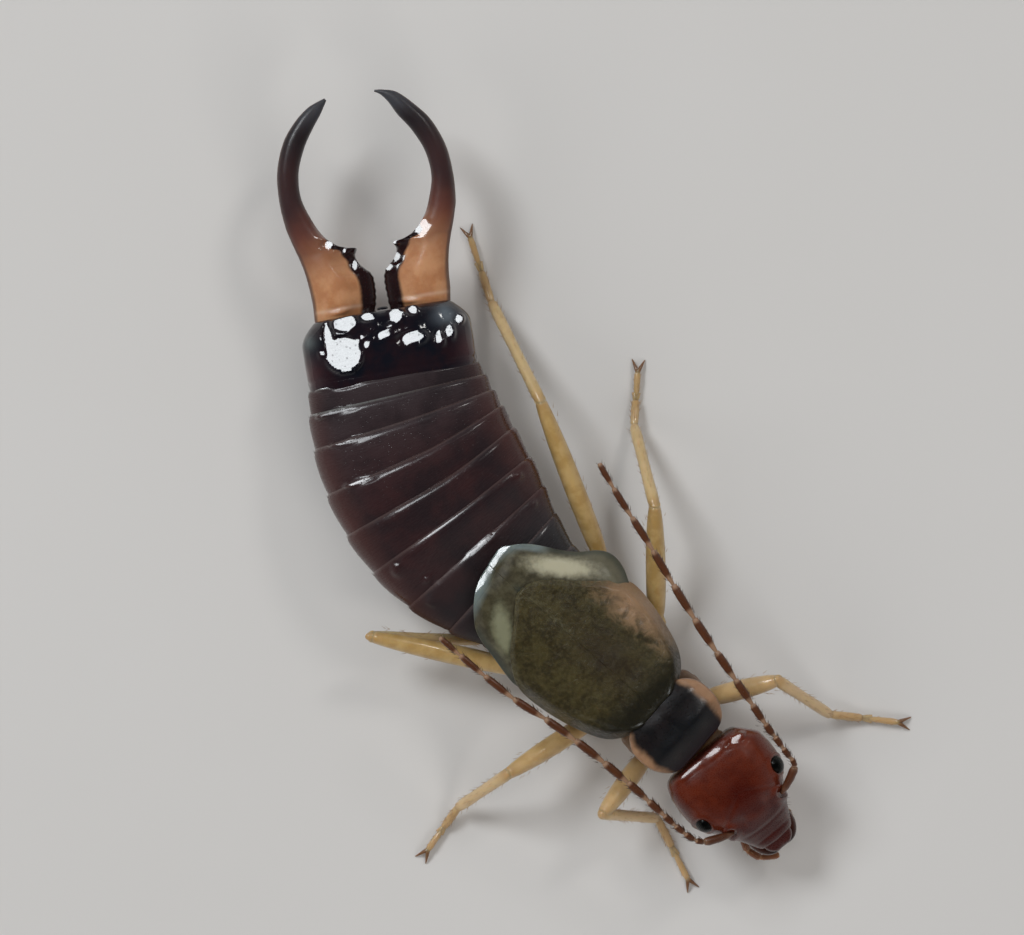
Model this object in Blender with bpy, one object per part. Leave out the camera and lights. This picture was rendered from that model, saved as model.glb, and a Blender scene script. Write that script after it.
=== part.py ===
# A male earwig at life size, standing on the floor with its feelers laid back.
# Sizes are in millimetres, and each finished mesh is scaled to metres.
# +Y runs from the head to the forceps, +X is the animal's left side, +Z is up.

import math

import bmesh
import bpy
from mathutils import Matrix, Vector

MM = 0.001  # metres in one millimetre
UP = Vector((0.0, 0.0, 1.0))
BODY_SIDES = 28  # sides of the head's and body's rings
BOX_MIDDLE = Vector((-1.05, 0.21, 0.0))  # middle of the whole model's box, moved to the origin

# The body's middle line from above: straight, then an arc, then straight again
NECK = Vector((-0.08, -5.42, 0.0))
THORAX_LEAN = math.radians(18.6)  # from +Y towards the animal's right
TAIL_LEAN = math.radians(-20.5)
HEAD_LEAN = math.radians(9.7)
STRAIGHT = 4.85
BEND_RADIUS = 6.2
TAIL_END = 10.25  # length of the middle line from the neck to the last tergite's rear edge

# Head: distance ahead of the neck, half width, top, waist and bottom heights
HEAD_RINGS = (
    (0.00, 0.60, 1.72, 1.45, 1.12),
    (0.10, 0.82, 1.84, 1.45, 1.00),
    (0.25, 0.96, 1.93, 1.45, 0.92),
    (0.55, 1.035, 2.00, 1.43, 0.86),
    (0.85, 1.01, 2.00, 1.40, 0.84),
    (1.12, 0.89, 1.93, 1.35, 0.82),
    (1.38, 0.73, 1.80, 1.28, 0.80),
    (1.62, 0.60, 1.62, 1.20, 0.79),
    (1.84, 0.49, 1.43, 1.12, 0.79),
    (2.08, 0.29, 1.26, 1.04, 0.80),
    (2.24, 0.12, 1.12, 1.00, 0.86),
)
EYE_AHEAD = 0.98
EYE_ACROSS = 0.90
EYE_HEIGHT = 1.42
EYE_RADII = (0.19, 0.26, 0.23)  # across, along and up
EYE_GAP = 0.14  # an eye is small, so its socket stands closer

# Thorax: distance behind the neck, half width, top, waist and bottom heights
THORAX_RINGS = (
    (0.27, 0.40, 1.58, 1.40, 1.18),
    (0.48, 0.46, 1.62, 1.40, 1.12),
    (0.62, 0.78, 1.66, 1.38, 1.00),
    (0.95, 0.90, 1.70, 1.36, 0.95),
    (1.22, 0.88, 1.70, 1.36, 0.95),
    (1.36, 0.80, 1.68, 1.36, 0.98),
    (1.55, 0.97, 1.70, 1.36, 0.95),
    (2.25, 1.06, 1.72, 1.36, 0.94),
    (2.45, 0.98, 1.70, 1.36, 0.96),
    (2.65, 1.06, 1.72, 1.36, 0.94),
    (3.00, 1.04, 1.70, 1.36, 0.96),
    (3.08, 0.90, 1.62, 1.36, 1.04),
)

# Pronotum: distance behind the neck and half width
PRONOTUM_OUTLINE = (
    (0.22, 0.72), (0.32, 0.88), (0.55, 0.94), (0.90, 0.95), (1.14, 0.89), (1.27, 0.74), (1.33, 0.52),
)
PRONOTUM_THICK = 0.42
PRONOTUM_RIM = 2.22  # height of its thin flat rim
DISC_RISE = 0.16  # how far its domed disc stands above the rim
DISC_HALF = 0.72

# Wing cases and the folded hind wings that show behind them, as (behind the neck, inner, outer)
CASE_OUTLINE = (
    (1.55, 0.12, 0.92), (1.75, 0.11, 1.12), (2.30, 0.11, 1.33), (3.00, 0.11, 1.42),
    (3.60, 0.11, 1.47), (3.90, 0.12, 1.40), (4.08, 0.16, 1.16),
)
PLATE_THICK = 0.46
WING_CROWN = 2.43
WING_DROP = 0.36  # how much lower the outer edges are, WING_HALF from the middle line
WING_HALF = 1.45
SQUAMA_OUTLINES = {
    "left": (
        (4.31, 0.11, 1.14), (4.55, 0.11, 1.04), (4.80, 0.11, 0.86), (5.02, 0.12, 0.62),
        (5.14, 0.15, 0.42),
    ),
    "right": (
        (4.31, -0.11, -1.36), (4.55, -0.11, -1.20), (4.80, -0.11, -0.96), (4.98, -0.12, -0.68),
        (5.08, -0.15, -0.46),
    ),
}
SQUAMA_CROWN = 2.38

# Abdomen: tergite lengths from front to rear, then profiles as (behind the neck, size)
ABDOMEN_START = 3.30
TERGITE_LENGTHS = (1.00, 0.59, 0.63, 0.63, 0.68, 0.72, 0.63, 0.50, 0.31)
ABDOMEN_WIDTH = (
    (3.3, 1.02), (4.3, 1.26), (5.0, 1.50), (5.9, 1.74), (6.9, 1.82), (7.7, 1.79), (8.5, 1.68),
    (9.1, 1.54),
)
ABDOMEN_TOP = ((3.3, 1.64), (5.2, 1.66), (5.7, 2.05), (6.2, 2.27), (6.9, 2.36), (7.7, 2.33), (9.1, 2.12))
ABDOMEN_BOTTOM = ((3.3, 0.96), (4.3, 0.84), (6.5, 0.74), (8.2, 0.78), (9.1, 0.90))
ABDOMEN_WAIST = ((3.3, 1.28), (5.0, 1.32), (6.2, 1.45), (9.1, 1.45))
# A tergite's rings as (share of its length, growth), so that each hind edge stands out
TERGITE_SHAPE = ((0.02, 0.97), (0.45, 1.00), (0.95, 1.02))

# Last tergite: distance behind the neck, half width, top and bottom heights
LAST_RINGS = (
    (9.20, 1.44, 2.04, 0.96),
    (9.28, 1.53, 2.13, 0.90),
    (9.70, 1.52, 2.14, 0.90),
    (10.05, 1.48, 2.05, 0.95),
    (10.20, 1.40, 1.93, 1.04),
    (10.25, 1.22, 1.78, 1.16),
)
LAST_WAIST = 1.45
TUBERCLE_ACROSS = 0.62
TUBERCLE_AHEAD = 0.24  # ahead of the rear edge
TUBERCLE_HEIGHT = 1.93
TUBERCLE_RADII = (0.26, 0.18, 0.16)
LAST_POWER = 2.7  # its section is squarer than the other tergites'
# Pygidium, the knob between the forceps: (along from the rear edge, growth)
PYGIDIUM_SHAPE = ((-0.30, 1.0), (0.12, 1.0), (0.20, 0.6))
PYGIDIUM_HALF = 0.17
PYGIDIUM_HEIGHT = 1.47
PYGIDIUM_RISE = 0.14
PYGIDIUM_SIDES = 8

# Forceps arm: outer edge across and behind the last tergite, inner edge the same, and height
ARM_RINGS = (
    (1.20, 0.22, 0.42, 0.22, 0.72),
    (1.25, 0.36, 0.24, 0.40, 0.78),
    (1.28, 0.62, 0.20, 0.64, 0.76),
    (1.32, 0.90, 0.36, 0.90, 0.68),
    (1.37, 1.10, 0.42, 1.12, 0.60),
    (1.45, 1.34, 0.80, 1.38, 0.54),
    (1.56, 1.70, 1.06, 1.76, 0.50),
    (1.60, 2.20, 1.18, 2.20, 0.48),
    (1.54, 2.72, 1.15, 2.64, 0.45),
    (1.32, 3.22, 0.97, 3.04, 0.41),
    (1.02, 3.58, 0.75, 3.36, 0.34),
)
ARM_TIPS = {  # the left arm's tip bends in less
    "left": ((0.84, 3.78, 0.65, 3.60, 0.26), (0.64, 3.93, 0.56, 3.84, 0.14)),
    "right": ((0.74, 3.80, 0.58, 3.62, 0.24), (0.51, 3.92, 0.47, 3.84, 0.12)),
}
ARM_SIDES = 14
ARM_POWER = 0.85  # below 1, its section is a little squarer than an oval
ARM_HEIGHT = 1.50
ARM_RISE = 0.06  # height gained for each millimetre of length
# Teeth on the inner edges: tip across, tip behind the last tergite, radius
TEETH = (
    (0.14, 0.42, 0.09), (0.13, 0.55, 0.09), (0.14, 0.68, 0.09), (0.31, 1.17, 0.12),
)
TOOTH_ROOT = 0.40  # how far outwards of its tip a tooth starts, inside the arm
TOOTH_LEAN = 0.04  # how far its tip lies behind its root
TOOTH_SHAPE = ((0.0, 1.3), (0.55, 1.0), (1.0, 0.35))
TOOTH_SIDES = 7

# Legs: hip, femur base, knee, ankle and foot tip from above
LEG_SPOTS = {
    "leg_front_left": ((0.11, -4.57), (0.35, -4.60), (1.68, -4.94), (2.23, -6.03), (3.30, -6.83)),
    "leg_middle_left": ((-0.22, -3.46), (0.32, -2.98), (1.34, -1.10), (1.77, 0.33), (2.35, 1.19)),
    "leg_hind_left": ((-0.46, -2.45), (0.02, -1.60), (0.50, 1.58), (0.64, 3.59), (0.91, 4.88)),
    "leg_front_right": ((-0.75, -4.85), (-1.00, -4.95), (-2.25, -5.45), (-1.45, -6.09), (-1.53, -7.42)),
    "leg_middle_right": ((-1.16, -3.78), (-1.52, -3.92), (-3.38, -3.97), (-4.50, -4.10), (-5.43, -4.53)),
    "leg_hind_right": ((-1.52, -2.85), (-2.10, -2.60), (-4.27, -0.60), (-2.62, -1.66), (-2.16, -0.42)),
}
HIP_HEIGHT = 0.50
BASE_HEIGHT = 0.62
KNEE_HEIGHT = 1.48
LOW_KNEES = {"leg_hind_right": 1.28}  # a leg that folds back under the body
ANKLE_HEIGHT = 0.42
FOOT_HEIGHT = 0.12
# Limb thickness as (share of the length, radius)
COXA_SHAPE = ((-0.10, 0.14), (0.05, 0.22), (0.60, 0.23), (1.15, 0.15))
FEMUR_SHAPE = ((-0.04, 0.15), (0.06, 0.22), (0.35, 0.26), (0.75, 0.26), (0.95, 0.24), (1.05, 0.15))
TIBIA_SHAPE = ((-0.04, 0.15), (0.05, 0.22), (0.40, 0.24), (0.92, 0.23), (1.04, 0.15))
TARSUS_SHARES = (0.0, 0.42, 0.62, 1.0)  # where the three foot joints begin and end
TARSUS_RADII = (0.22, 0.23, 0.19)
TARSUS_SHAPE = ((-0.12, 0.60), (0.15, 0.85), (0.80, 1.00), (1.08, 0.70))
CLAW_LENGTH = 0.26
CLAW_ROOT = 0.10  # how far back inside the foot a claw starts
CLAW_TIP_HEIGHT = 0.03
CLAW_SHAPE = ((0.0, 0.08), (0.5, 0.08), (1.0, 0.02))
CLAW_SPREAD = math.radians(28)
CLAW_SIDES = 5
LIMB_SIDES = 10

# Feelers: joints from above and their heights
FEELER_SPOTS = {
    "antenna_left": (
        (1.02, -6.60, 1.92), (1.34, -6.29, 2.12), (1.16, -5.76, 2.20), (1.09, -5.47, 2.26),
        (1.05, -4.92, 2.34), (1.01, -4.41, 2.40), (0.96, -3.76, 2.44), (0.92, -3.04, 2.46),
        (0.90, -2.30, 2.48), (0.89, -1.62, 2.50), (0.86, -0.99, 2.52), (0.84, -0.42, 2.54),
        (0.84, 0.09, 2.55),
    ),
    "antenna_right": (
        (-0.82, -6.85, 1.92), (-1.17, -6.68, 2.12), (-1.24, -6.26, 2.20), (-1.36, -5.80, 2.27),
        (-1.50, -5.34, 2.35), (-1.69, -4.80, 2.46), (-1.90, -4.25, 2.57), (-2.22, -3.51, 2.65),
        (-2.56, -2.85, 2.70), (-2.82, -2.21, 2.72), (-3.00, -1.72, 2.72), (-3.18, -1.18, 2.72),
    ),
}
FEELER_RADIUS = 0.25
FEELER_SHAPE = ((0.04, 0.80), (0.32, 1.0), (0.86, 1.0))  # each joint starts narrower
FEELER_EVEN = 7  # how many joints are equally thick before the taper
FEELER_END = 0.48  # the last joint's radius, as a share of the first's
FEELER_POINT = 0.4  # its tip's radius, as a share of its own

# Palps: joints as (across, ahead of the neck, height); the left one is tucked further in
PALP_SPOTS = {
    "left": ((0.32, 1.42, 0.42), (0.46, 1.78, 0.42), (0.38, 2.06, 0.38), (0.20, 2.20, 0.32)),
    "right": ((-0.34, 1.50, 0.42), (-0.56, 1.92, 0.42), (-0.44, 2.24, 0.38), (-0.18, 2.34, 0.32)),
}
PALP_SHAPE = (0.20, 0.24, 0.20, 0.10)

FINISHES = {  # colour, roughness and metallic value
    "head_brown": ((0.115, 0.030, 0.014), 0.22, 0.0),
    "eye_black": ((0.006, 0.005, 0.006), 0.15, 0.0),
    "feeler_brown": ((0.150, 0.060, 0.026), 0.40, 0.0),
    "pronotum_dark": ((0.040, 0.018, 0.012), 0.28, 0.0),
    "wing_olive": ((0.150, 0.085, 0.024), 0.30, 0.0),
    "squama_cream": ((0.420, 0.330, 0.150), 0.30, 0.0),
    "body_dark": ((0.030, 0.010, 0.008), 0.24, 0.0),
    "forceps_amber": ((0.230, 0.070, 0.020), 0.24, 0.0),
    "leg_yellow": ((0.480, 0.260, 0.070), 0.36, 0.0),
}


def body_frame(s):
    """A point on the middle line, s behind the neck, with the ways back and left there."""
    x, y = NECK.x, NECK.y
    first = min(s, STRAIGHT)
    turned = min(max(s - STRAIGHT, 0.0) / BEND_RADIUS, THORAX_LEAN - TAIL_LEAN)
    rest = max(s - STRAIGHT - BEND_RADIUS * (THORAX_LEAN - TAIL_LEAN), 0.0)
    lean = THORAX_LEAN - turned
    x -= first * math.sin(THORAX_LEAN) + BEND_RADIUS * (math.cos(lean) - math.cos(THORAX_LEAN))
    y += first * math.cos(THORAX_LEAN) + BEND_RADIUS * (math.sin(THORAX_LEAN) - math.sin(lean))
    back = Vector((-math.sin(lean), math.cos(lean), 0.0))
    left = Vector((math.cos(lean), math.sin(lean), 0.0))
    return Vector((x, y, 0.0)) + back * rest, back, left


def head_frame(ahead):
    """A point on the head's middle line, ahead of the neck, with the ways back and left."""
    back = Vector((-math.sin(HEAD_LEAN), math.cos(HEAD_LEAN), 0.0))
    left = Vector((math.cos(HEAD_LEAN), math.sin(HEAD_LEAN), 0.0))
    return NECK - back * ahead, back, left


def spot(frame, across, height, along=0.0):
    """The point at a distance to the left, a height and a distance back from a frame."""
    point, back, left = frame
    return point + left * across + back * along + UP * height


def smooth(points, s):
    """The value at s on a smooth curve through (place, value) points."""
    s = min(max(s, points[0][0]), points[-1][0])
    i = max(k for k in range(len(points) - 1) if points[k][0] <= s)

    def slope(k):
        low, high = points[max(k - 1, 0)], points[min(k + 1, len(points) - 1)]
        return (high[1] - low[1]) / (high[0] - low[0])

    (x0, y0), (x1, y1) = points[i], points[i + 1]
    run = x1 - x0
    t = (s - x0) / run
    rise = y0 * (2 * t**3 - 3 * t**2 + 1) + y1 * (3 * t**2 - 2 * t**3)
    return rise + run * (slope(i) * (t**3 - 2 * t**2 + t) + slope(i + 1) * (t**3 - t**2))


def refine(rows, parts):
    """The same rows of sizes with smooth rows between them, each gap cut into parts."""
    columns = [[(k, row[c]) for k, row in enumerate(rows)] for c in range(len(rows[0]))]
    marks = [k / parts for k in range((len(rows) - 1) * parts + 1)]
    return [[smooth(column, mark) for column in columns] for mark in marks]


def oval(frame, half, top, waist, bottom, sides=BODY_SIDES, power=2.3):
    """An upright ring that is widest at its waist, between the heights of top and bottom."""
    ring = []
    for k in range(sides):
        turn = 2.0 * math.pi * (k + 0.5) / sides
        across = half * math.copysign(abs(math.cos(turn)) ** (2.0 / power), math.cos(turn))
        lift = math.copysign(abs(math.sin(turn)) ** (2.0 / power), math.sin(turn))
        reach = top - waist if lift > 0.0 else waist - bottom
        ring.append(spot(frame, across, waist + reach * lift))
    return ring


def plate_ring(frame, inner, outer, top_at, thick, steps):
    """A ring round a plate's section: over its top from inner to outer, and back below."""
    lip = math.copysign(min(0.3 * thick, 0.2 * abs(outer - inner)), outer - inner)
    marks = [inner + lip + (outer - inner - 2.0 * lip) * k / (steps - 1) for k in range(steps)]
    over = [spot(frame, u, top_at(u)) for u in marks]
    under = [spot(frame, u, top_at(u) - thick) for u in reversed(marks)]
    inner_edge = spot(frame, inner, top_at(inner) - 0.5 * thick)
    outer_edge = spot(frame, outer, top_at(outer) - 0.5 * thick)
    return [inner_edge, *over, outer_edge, *under]


def loft(rings):
    """A closed skin drawn through rings that have equal numbers of points."""
    bm = bmesh.new()
    loop = bmesh.ops.create_circle(bm, cap_ends=True, radius=1.0, segments=len(rings[0]))["verts"]
    for vert, point in zip(loop, rings[0]):
        vert.co = point
    edges = list(bm.edges)
    for ring in rings[1:]:
        made = bmesh.ops.extrude_edge_only(bm, edges=edges)["geom"]
        fresh = {item for item in made if isinstance(item, bmesh.types.BMVert)}
        edges = [e for e in made if isinstance(e, bmesh.types.BMEdge) and set(e.verts) <= fresh]
        loop = [next(e.other_vert(v) for e in v.link_edges if e.other_vert(v) in fresh) for v in loop]
        for vert, point in zip(loop, ring):
            vert.co = point
    bmesh.ops.contextual_create(bm, geom=edges)
    bmesh.ops.recalc_face_normals(bm, faces=bm.faces)
    return bm


def tube(points, radii, sides=LIMB_SIDES):
    """A closed tube along points, with a radius at each and its rings square to the path."""
    rings = []
    for i, (point, radius) in enumerate(zip(points, radii)):
        way = (points[min(i + 1, len(points) - 1)] - points[max(i - 1, 0)]).normalized()
        side = way.cross(UP).normalized()
        lift = side.cross(way)
        turns = [2.0 * math.pi * (k + 0.5) / sides for k in range(sides)]
        rings.append([point + (side * math.cos(a) + lift * math.sin(a)) * radius for a in turns])
    return loft(rings)


def segment(start, end, shape, sides=LIMB_SIDES):
    """A limb's joint from start to end, with its radius at shares of the length."""
    points = [start.lerp(end, share) for share, radius in shape]
    return tube(points, [radius for share, radius in shape], sides)


def scaled(shape, radius):
    """A joint's shape whose thickness is in shares of a radius, with the radius put in."""
    return [(share, grow * radius) for share, grow in shape]


def ball(centre, radii, lean):
    """An ellipsoid turned by lean about the vertical."""
    bm = bmesh.new()
    bmesh.ops.create_uvsphere(bm, u_segments=14, v_segments=8, radius=1.0)
    turn = Matrix.Rotation(lean, 4, "Z")
    shape = Matrix.Diagonal((*radii, 1.0))
    bmesh.ops.transform(bm, matrix=Matrix.Translation(centre) @ turn @ shape, verts=bm.verts)
    return bm


def as_object(name, bm):
    mesh = bpy.data.meshes.new(name)
    bm.to_mesh(mesh)
    bm.free()
    made = bpy.data.objects.new(name, mesh)
    bpy.context.scene.collection.objects.link(made)
    return made


def combine(base, others, operation="UNION"):
    """The base skin joined with the others, or with the others cut out of it."""
    group = bpy.data.collections.new("pieces")
    bpy.context.scene.collection.children.link(group)
    for i, bm in enumerate(others):
        piece = as_object(f"piece_{i}", bm)
        bpy.context.scene.collection.objects.unlink(piece)
        group.objects.link(piece)
    body = as_object("body", base)
    joiner = body.modifiers.new("join", "BOOLEAN")
    joiner.operation = operation
    joiner.operand_type = "COLLECTION"
    joiner.collection = group
    joiner.solver = "EXACT"
    depsgraph = bpy.context.evaluated_depsgraph_get()
    joined = bmesh.new()
    joined.from_mesh(body.evaluated_get(depsgraph).to_mesh())
    for item in [body, *group.objects]:
        bpy.data.objects.remove(item)
    bpy.data.collections.remove(group)
    return keep_largest(joined)


def keep_largest(bm):
    """Only the largest of the skin's separate closed surfaces."""
    left = set(bm.faces)
    shells = []
    while left:
        stack = [left.pop()]
        shell = list(stack)
        while stack:
            face = stack.pop()
            for near in {f for e in face.edges for f in e.link_faces if f in left}:
                left.discard(near)
                stack.append(near)
                shell.append(near)
        shells.append(shell)
    shells.sort(key=lambda shell: sum(face.calc_area() for face in shell))
    scraps = [face for shell in shells[:-1] for face in shell]
    bmesh.ops.delete(bm, geom=scraps, context="FACES")
    return bm


def make_finishes():
    made = {}
    for name, (colour, roughness, metallic) in FINISHES.items():
        material = bpy.data.materials.new(name)
        material.use_nodes = True
        shader = material.node_tree.nodes["Principled BSDF"]
        shader.inputs["Base Color"].default_value = (*colour, 1.0)
        shader.inputs["Roughness"].default_value = roughness
        shader.inputs["Metallic"].default_value = metallic
        material.diffuse_color = (*colour, 1.0)
        made[name] = material
    return made


def add_node(name, bm, finish, root):
    """The finished object: its skin in metres, shaded smooth between its sharp edges."""
    bmesh.ops.scale(bm, vec=(MM, MM, MM), verts=bm.verts)
    node = as_object(name, bm)
    node.data.materials.append(finish)
    node.data.shade_smooth()
    node.data.set_sharp_from_angle(angle=math.radians(40))
    node.parent = root
    return node


def make_head():
    rings = []
    for ahead, half, top, waist, bottom in refine(HEAD_RINGS, 2):
        rings.append(oval(head_frame(ahead), half, top, waist, bottom))
    sockets = [eye_ball(side, EYE_GAP) for side in (1, -1)]
    return combine(loft(rings), sockets, "DIFFERENCE")


def eye_ball(side, grow=0.0):
    centre = spot(head_frame(EYE_AHEAD), side * EYE_ACROSS, EYE_HEIGHT)
    return ball(centre, [radius + grow for radius in EYE_RADII], HEAD_LEAN)


def make_thorax():
    return loft([oval(body_frame(s), *sizes) for s, *sizes in THORAX_RINGS])


def make_pronotum():
    def top_at(u):
        return PRONOTUM_RIM + DISC_RISE * math.sqrt(max(1.0 - (u / DISC_HALF) ** 2, 0.0))
    rings = []
    for s, half in refine(PRONOTUM_OUTLINE, 2):
        rings.append(plate_ring(body_frame(s), -half, half, top_at, PRONOTUM_THICK, 14))
    return loft(rings)


def wing_plate(outline, crown, side=1):
    """A wing's arched plate, from an outline of its edges, with side -1 for a mirrored one."""
    def top_at(u):
        return crown - WING_DROP * (u / WING_HALF) ** 2
    rings = []
    for s, inner, outer in refine(outline, 2):
        rings.append(plate_ring(body_frame(s), side * inner, side * outer, top_at, PLATE_THICK, 8))
    return loft(rings)


def make_abdomen():
    rings = []
    s = ABDOMEN_START
    for length in TERGITE_LENGTHS:
        for share, grow in TERGITE_SHAPE:
            place = s + share * length
            half = smooth(ABDOMEN_WIDTH, place) * grow
            waist = smooth(ABDOMEN_WAIST, place)
            top = waist + (smooth(ABDOMEN_TOP, place) - waist) * grow
            bottom = waist - (waist - smooth(ABDOMEN_BOTTOM, place)) * grow
            rings.append(oval(body_frame(place), half, top, waist, bottom))
        s += length
    return loft(rings)


def make_last_tergite():
    rings = []
    for s, half, top, bottom in LAST_RINGS:
        rings.append(oval(body_frame(s), half, top, LAST_WAIST, bottom, power=LAST_POWER))
    rear = body_frame(TAIL_END)
    extras = []
    for side in (1, -1):
        centre = spot(rear, side * TUBERCLE_ACROSS, TUBERCLE_HEIGHT, -TUBERCLE_AHEAD)
        extras.append(ball(centre, TUBERCLE_RADII, TAIL_LEAN))
    knob_rings = []
    for along, grow in PYGIDIUM_SHAPE:
        frame = (spot(rear, 0.0, 0.0, along), rear[1], rear[2])
        top = PYGIDIUM_HEIGHT + PYGIDIUM_RISE * grow
        bottom = PYGIDIUM_HEIGHT - PYGIDIUM_RISE * grow
        knob_rings.append(oval(frame, PYGIDIUM_HALF * grow, top, PYGIDIUM_HEIGHT, bottom, PYGIDIUM_SIDES))
    extras.append(loft(knob_rings))
    return combine(loft(rings), extras)


def make_forceps(name, side):
    frame = body_frame(TAIL_END)
    rings = []
    for out_across, out_along, in_across, in_along, height in refine(ARM_RINGS + ARM_TIPS[name], 2):
        out_point = spot(frame, side * out_across, ARM_HEIGHT + ARM_RISE * out_along, out_along)
        in_point = spot(frame, side * in_across, ARM_HEIGHT + ARM_RISE * in_along, in_along)
        middle = (out_point + in_point) * 0.5
        reach = (out_point - in_point) * 0.5
        ring = []
        for k in range(ARM_SIDES):
            turn = 2.0 * math.pi * (k + 0.5) / ARM_SIDES
            across = math.copysign(abs(math.cos(turn)) ** ARM_POWER, math.cos(turn))
            lift = math.copysign(abs(math.sin(turn)) ** ARM_POWER, math.sin(turn))
            ring.append(middle + reach * across + UP * (0.5 * height * lift))
        rings.append(ring)
    teeth = []
    for across, along, radius in TEETH:
        height = ARM_HEIGHT + ARM_RISE * along
        root = spot(frame, side * (across + TOOTH_ROOT), height, along - TOOTH_LEAN)
        tip = spot(frame, side * across, height, along)
        teeth.append(segment(root, tip, scaled(TOOTH_SHAPE, radius), TOOTH_SIDES))
    return combine(loft(rings), teeth)


def make_leg(spots, knee_height):
    heights = (HIP_HEIGHT, BASE_HEIGHT, knee_height, ANKLE_HEIGHT, FOOT_HEIGHT)
    hip, base, knee, ankle, tip = [Vector((x, y, z)) for (x, y), z in zip(spots, heights)]
    pieces = [
        segment(hip, base, COXA_SHAPE),
        segment(base, knee, FEMUR_SHAPE),
        segment(knee, ankle, TIBIA_SHAPE),
    ]
    for i, radius in enumerate(TARSUS_RADII):
        start = ankle.lerp(tip, TARSUS_SHARES[i])
        end = ankle.lerp(tip, TARSUS_SHARES[i + 1])
        pieces.append(segment(start, end, scaled(TARSUS_SHAPE, radius)))
    ahead = (tip - ankle).normalized()
    ahead.z = 0.0
    for turn in (CLAW_SPREAD, -CLAW_SPREAD):
        way = Matrix.Rotation(turn, 3, "Z") @ ahead
        claw_tip = tip + way * CLAW_LENGTH + UP * (CLAW_TIP_HEIGHT - tip.z)
        pieces.append(segment(tip - way * CLAW_ROOT, claw_tip, CLAW_SHAPE, CLAW_SIDES))
    leg = combine(pieces[0], pieces[1:])
    parts = [*leg.verts, *leg.edges, *leg.faces]
    cut = bmesh.ops.bisect_plane(leg, geom=parts, plane_co=(0, 0, 0), plane_no=(0, 0, -1), clear_outer=True)
    rim = [item for item in cut["geom_cut"] if isinstance(item, bmesh.types.BMEdge)]
    bmesh.ops.holes_fill(leg, edges=rim)
    return leg


def make_feeler(spots):
    joints = [Vector(point) for point in spots]
    points, radii = [], []
    count = len(joints) - 1
    for i in range(count):
        taper = max(i + 1 - FEELER_EVEN, 0) / (count - FEELER_EVEN)
        full = FEELER_RADIUS * (1.0 - (1.0 - FEELER_END) * taper)
        for share, grow in FEELER_SHAPE:
            points.append(joints[i].lerp(joints[i + 1], share))
            radii.append(full * grow)
    points.append(joints[-1])
    radii.append(FEELER_POINT * radii[-1])
    return tube(points, radii)


def make_palp(spots):
    points = [spot(head_frame(ahead), across, height) for across, ahead, height in spots]
    return tube(points, PALP_SHAPE)


def main():
    for item in list(bpy.data.objects):
        bpy.data.objects.remove(item)
    root = bpy.data.objects.new("earwig", None)
    root.location = -BOX_MIDDLE * MM
    bpy.context.scene.collection.objects.link(root)
    finishes = make_finishes()

    def add(name, bm, finish):
        add_node(name, bm, finishes[finish], root)

    add("head", make_head(), "head_brown")
    add("thorax", make_thorax(), "body_dark")
    add("pronotum", make_pronotum(), "pronotum_dark")
    add("abdomen", make_abdomen(), "body_dark")
    add("last_tergite", make_last_tergite(), "body_dark")
    for name, side in (("left", 1), ("right", -1)):
        add(f"eye_{name}", eye_ball(side), "eye_black")
        add(f"palp_{name}", make_palp(PALP_SPOTS[name]), "feeler_brown")
        add(f"tegmen_{name}", wing_plate(CASE_OUTLINE, WING_CROWN, side), "wing_olive")
        add(f"squama_{name}", wing_plate(SQUAMA_OUTLINES[name], SQUAMA_CROWN), "squama_cream")
        add(f"forceps_{name}", make_forceps(name, side), "forceps_amber")
    for name, spots in LEG_SPOTS.items():
        add(name, make_leg(spots, LOW_KNEES.get(name, KNEE_HEIGHT)), "leg_yellow")
    for name, spots in FEELER_SPOTS.items():
        add(name, make_feeler(spots), "feeler_brown")


main()
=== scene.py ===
import random
from math import copysign, cos, exp, hypot, pi, radians, sin, sqrt

import bmesh
import bpy
from mathutils import Matrix, Vector, noise


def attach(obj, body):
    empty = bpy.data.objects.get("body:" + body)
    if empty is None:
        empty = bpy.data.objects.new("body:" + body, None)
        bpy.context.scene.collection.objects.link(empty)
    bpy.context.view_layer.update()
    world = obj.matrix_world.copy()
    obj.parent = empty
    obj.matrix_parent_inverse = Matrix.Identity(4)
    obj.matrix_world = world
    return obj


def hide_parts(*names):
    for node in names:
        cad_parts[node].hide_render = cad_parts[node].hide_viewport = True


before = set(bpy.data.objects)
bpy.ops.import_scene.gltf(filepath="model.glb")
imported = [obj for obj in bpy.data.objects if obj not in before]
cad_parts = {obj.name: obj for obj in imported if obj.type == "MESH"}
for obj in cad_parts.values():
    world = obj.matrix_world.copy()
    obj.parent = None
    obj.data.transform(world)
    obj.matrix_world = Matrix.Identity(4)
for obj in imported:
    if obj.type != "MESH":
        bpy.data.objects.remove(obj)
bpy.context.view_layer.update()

# A still earwig at life size. Shapes are made in millimetres along the animal's own
# middle line, and each finished piece is turned into metres in the frame's place.
scene = bpy.context.scene
up = Vector((0.0, 0.0, 1.0))

line = dict(
    middle=Vector((-1.05, 0.21, 0.0)),  # the frame's origin, in these millimetres
    neck=Vector((-0.08, -5.42, 0.0)),
    headLean=radians(9.7),
    thoraxLean=radians(18.6),
    tailLean=radians(-20.5),
    straight=4.85,  # the body is straight this far behind the neck, then bends
    bendRadius=6.2,
    tailEnd=10.25,
)
toFrame = Matrix.Scale(0.001, 4) @ Matrix.Translation(-line["middle"])
bothSides = (("left", 1), ("right", -1))


def ways(lean):
    # backwards and to the left, where the middle line leans
    return Vector((-sin(lean), cos(lean), 0.0)), Vector((cos(lean), sin(lean), 0.0))


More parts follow.
